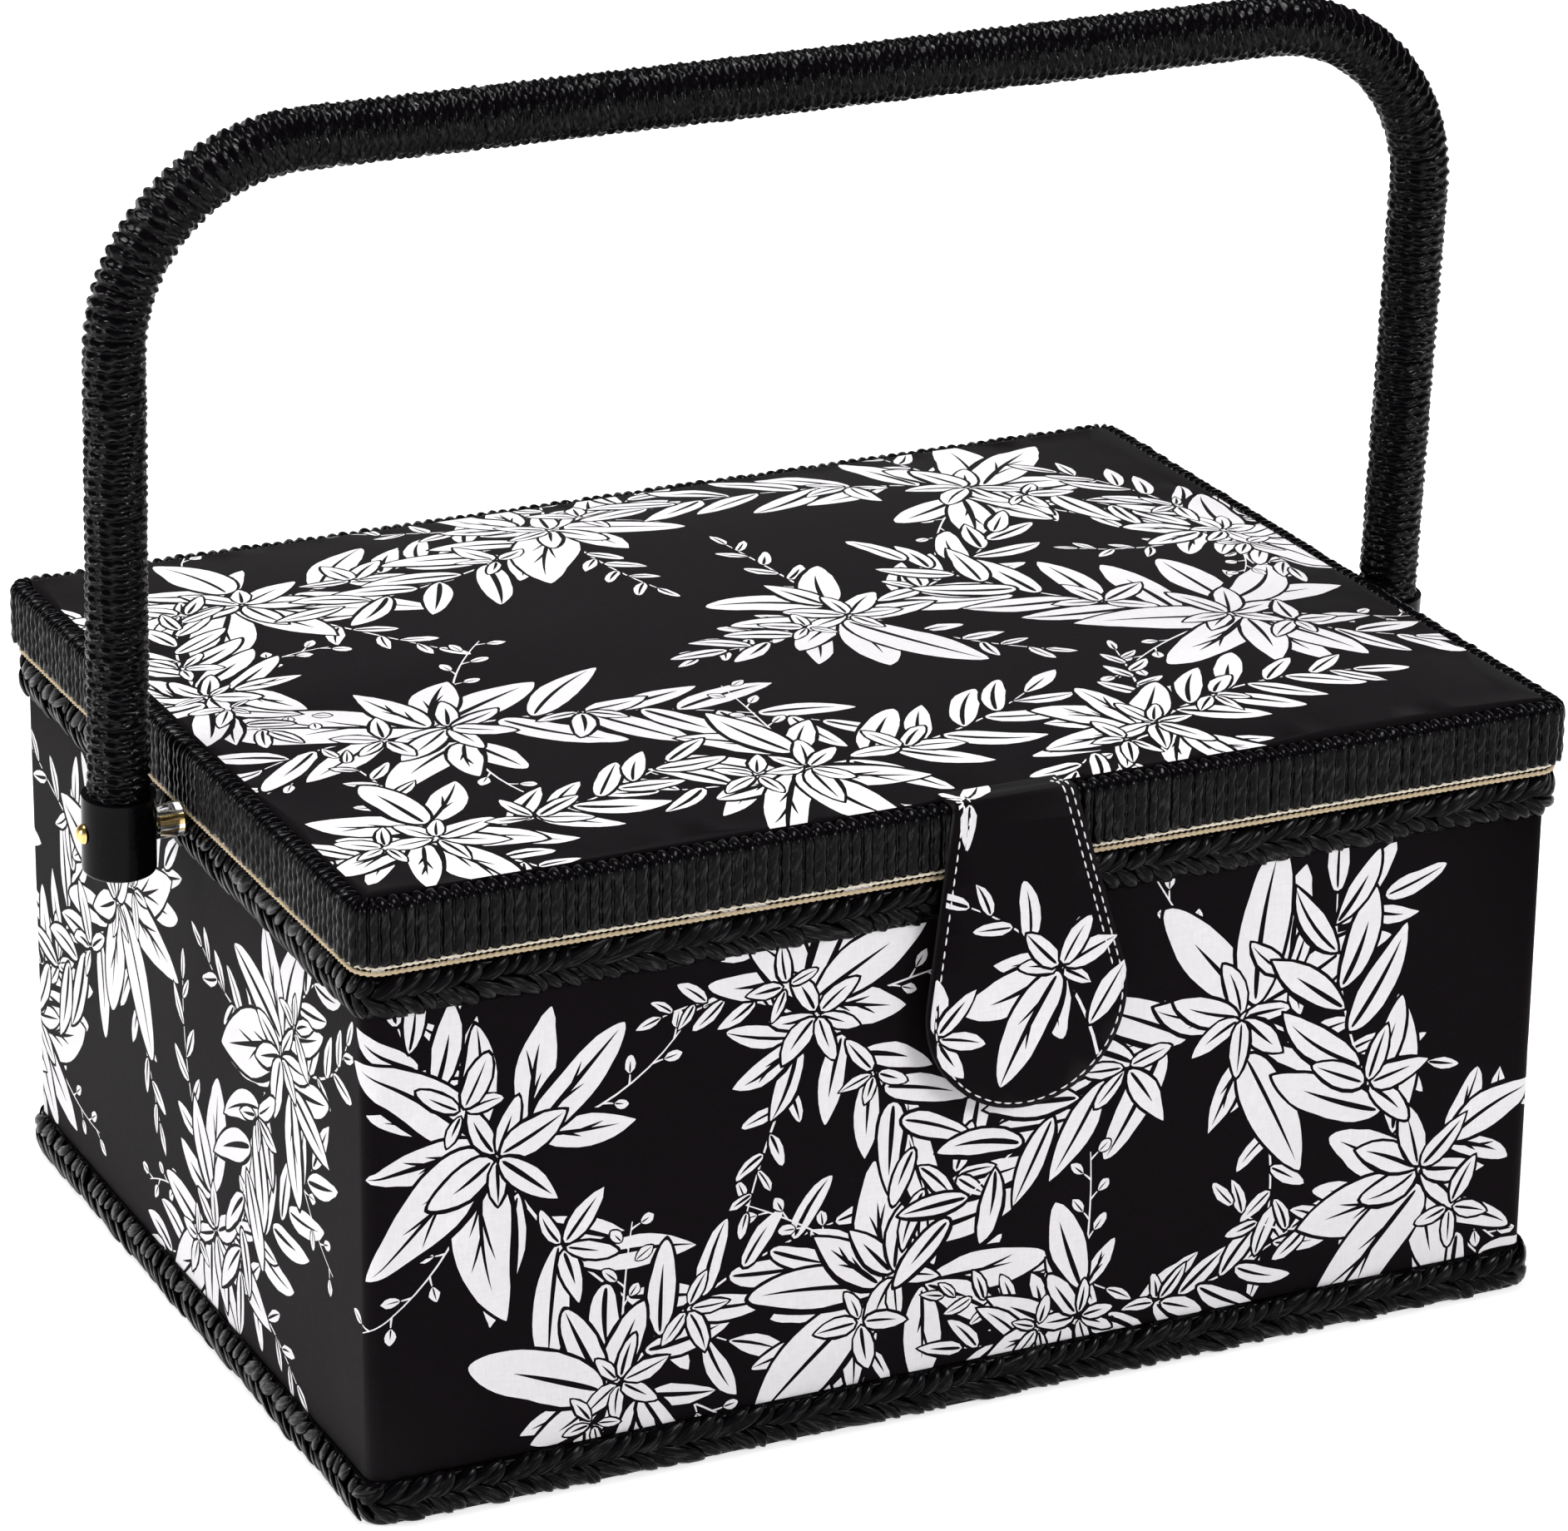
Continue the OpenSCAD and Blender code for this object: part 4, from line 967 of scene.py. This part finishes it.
def stitchesAlong(path, rng):
    # every stitch is a flattened spindle on the path, with its ends sunk into the cloth
    length = np.concatenate([[0], np.cumsum(np.abs(np.diff(path)))])

    def spotAt(s):
        return np.interp(s, length, path.real) + 1j*np.interp(s, length, path.imag)

    step, rows, cols = stitch["length"] + stitch["gap"], stitch["stations"], stitch["round"]
    count = int(length[-1]//step)
    start = (np.arange(count) + 0.15)*step + rng.normal(0, stitch["uneven"], count)
    t = np.linspace(0.04, 0.96, rows)
    ring = circle(cols)
    at = start[:, None] + stitch["length"]*t[None, :]
    place = spotAt(at)
    way = spotAt(at + 0.2) - place
    way /= np.maximum(np.abs(way), 1e-9)
    full = (np.sin(np.pi*t)**0.45)[None, :, None]
    across = stitch["width"]/2*full*np.cos(ring)
    lift = stitch["height"]*full*np.sin(ring) + stitch["proud"]*full - stitch["sunk"]
    spot = place[..., None] + 1j*way[..., None]*across
    points = flapPlace(spot.real, spot.imag, lift + 0*across)
    first = np.arange(count)[:, None, None]*rows*cols
    quads, caps = gridFaces(rows, cols, False, True) + first, endCaps(rows, cols) + first
    uv = np.stack([at[..., None] + 0*across, across + 0*at[..., None]], -1)
    return points.reshape(-1, 3), quads.reshape(-1, 4), caps.reshape(-1, cols), uv.reshape(-1, 2)


def flapSeam(inset):
    # the line inside the flap's edge from the top of one side, round the end and back up the other
    edge = flapOutline(inset)
    neckTop = np.argmax(edge.imag)
    return np.concatenate([edge[neckTop + 1:], edge[:neckTop + 1]])[::-1]


def makeStitches():
    rng = np.random.default_rng(stitch["seed"])
    inside = flapSeam(stitch["second"])
    right = inside[(inside.real > flap["lean"]) & (inside.imag > stitch["rightTo"])]
    left = inside[(inside.real < flap["lean"]) & (inside.imag > stitch["leftTo"])]
    rows = [stitchesAlong(path, rng) for path in (flapSeam(stitch["inset"]), right, left)]
    starts = np.cumsum([0] + [len(row[0]) for row in rows])
    points, uvs = (np.vstack([row[k] for row in rows])*mm for k in (0, 3))
    faceSets = [np.vstack([row[k] + start for row, start in zip(rows, starts)]) for k in (1, 2)]
    piece = makePiece("flapStitches", points, faceSets, [stitchThread], uvs)
    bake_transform(piece)


makeStitches()
print("flap stitched")


# Pin cushion under the lid: a small stuffed pad, flat against the lining, with gathers round its seam.
cushion = {"square": 6.0, "seam": 1.0, "gather": 0.35, "gathers": 46, "levels": 22, "around": 184}


def makeCushion():
    low, high = boxOf("pin_cushion")
    halfW, halfD, middle = high[0], (high[1] - low[1])/2, (high[1] + low[1])/2
    turn = circle(cushion["around"])[None, :]
    # the outline is a superellipse, and q is the share of the way out to it
    n = cushion["square"]
    reach = ((np.abs(np.cos(turn))/halfW)**n + (np.abs(np.sin(turn))/halfD)**n)**(-1/n)
    q = np.sin(np.linspace(0.02, np.pi/2, cushion["levels"]))[:, None]
    crown = low[2] + (high[2] - low[2] - cushion["seam"])*(1 - (1 - q**3.4)**0.62)
    gather = cushion["gather"]*q**6*(1 - q**30)*np.sin(cushion["gathers"]*turn + 1.3*np.sin(3*turn))
    shares = np.vstack([q, q[::-1]])
    z = np.vstack([crown + gather, np.broadcast_to(high[2], (len(q), turn.shape[1]))])
    points = np.stack([shares*reach*np.cos(turn), middle + shares*reach*np.sin(turn), z], -1)
    points = points.reshape(-1, 3)*mm
    rows, cols = len(shares), turn.shape[1]
    piece = makePiece("pinCushion", points, [gridFaces(rows, cols, False, True), endCaps(rows, cols)],
                      [cushionCloth])
    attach(piece, "lid")
    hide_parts("pin_cushion")


makeCushion()
print("pin cushion stuffed")


# Finishes of the pieces that stay as they are.
finishes = (
    (boardWood, "base_panel front_panel back_panel left_panel right_panel tray_ledge_front tray_ledge_back"),
    (boardWood, "lid_frame lid_board"),
    (liningCloth, "box_lining lid_lining"),
    (brass, "hinge_leaf_box_left hinge_leaf_box_right hinge_leaf_lid_left hinge_leaf_lid_right"),
    (brass, "hinge_pin_left hinge_pin_right hinge_screws_box hinge_screws_lid"),
    (brass, "pivot_screw_left pivot_screw_right"),
    (clearAcrylic, "pivot_spacer_left pivot_spacer_right"),
    (platedSteel, "pivot_washers pivot_nuts catch_plate flap_magnet"),
    (satinBlack, "handle_core ferrule_left ferrule_right"),
    (trayPlastic, "tray_left tray_right"),
)

for material, nodes in finishes:
    for node in nodes.split():
        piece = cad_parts[node]
        if not piece.data.materials:
            piece.data.materials.append(material)
        for slot in piece.material_slots:
            slot.material = material
print("finishes set")
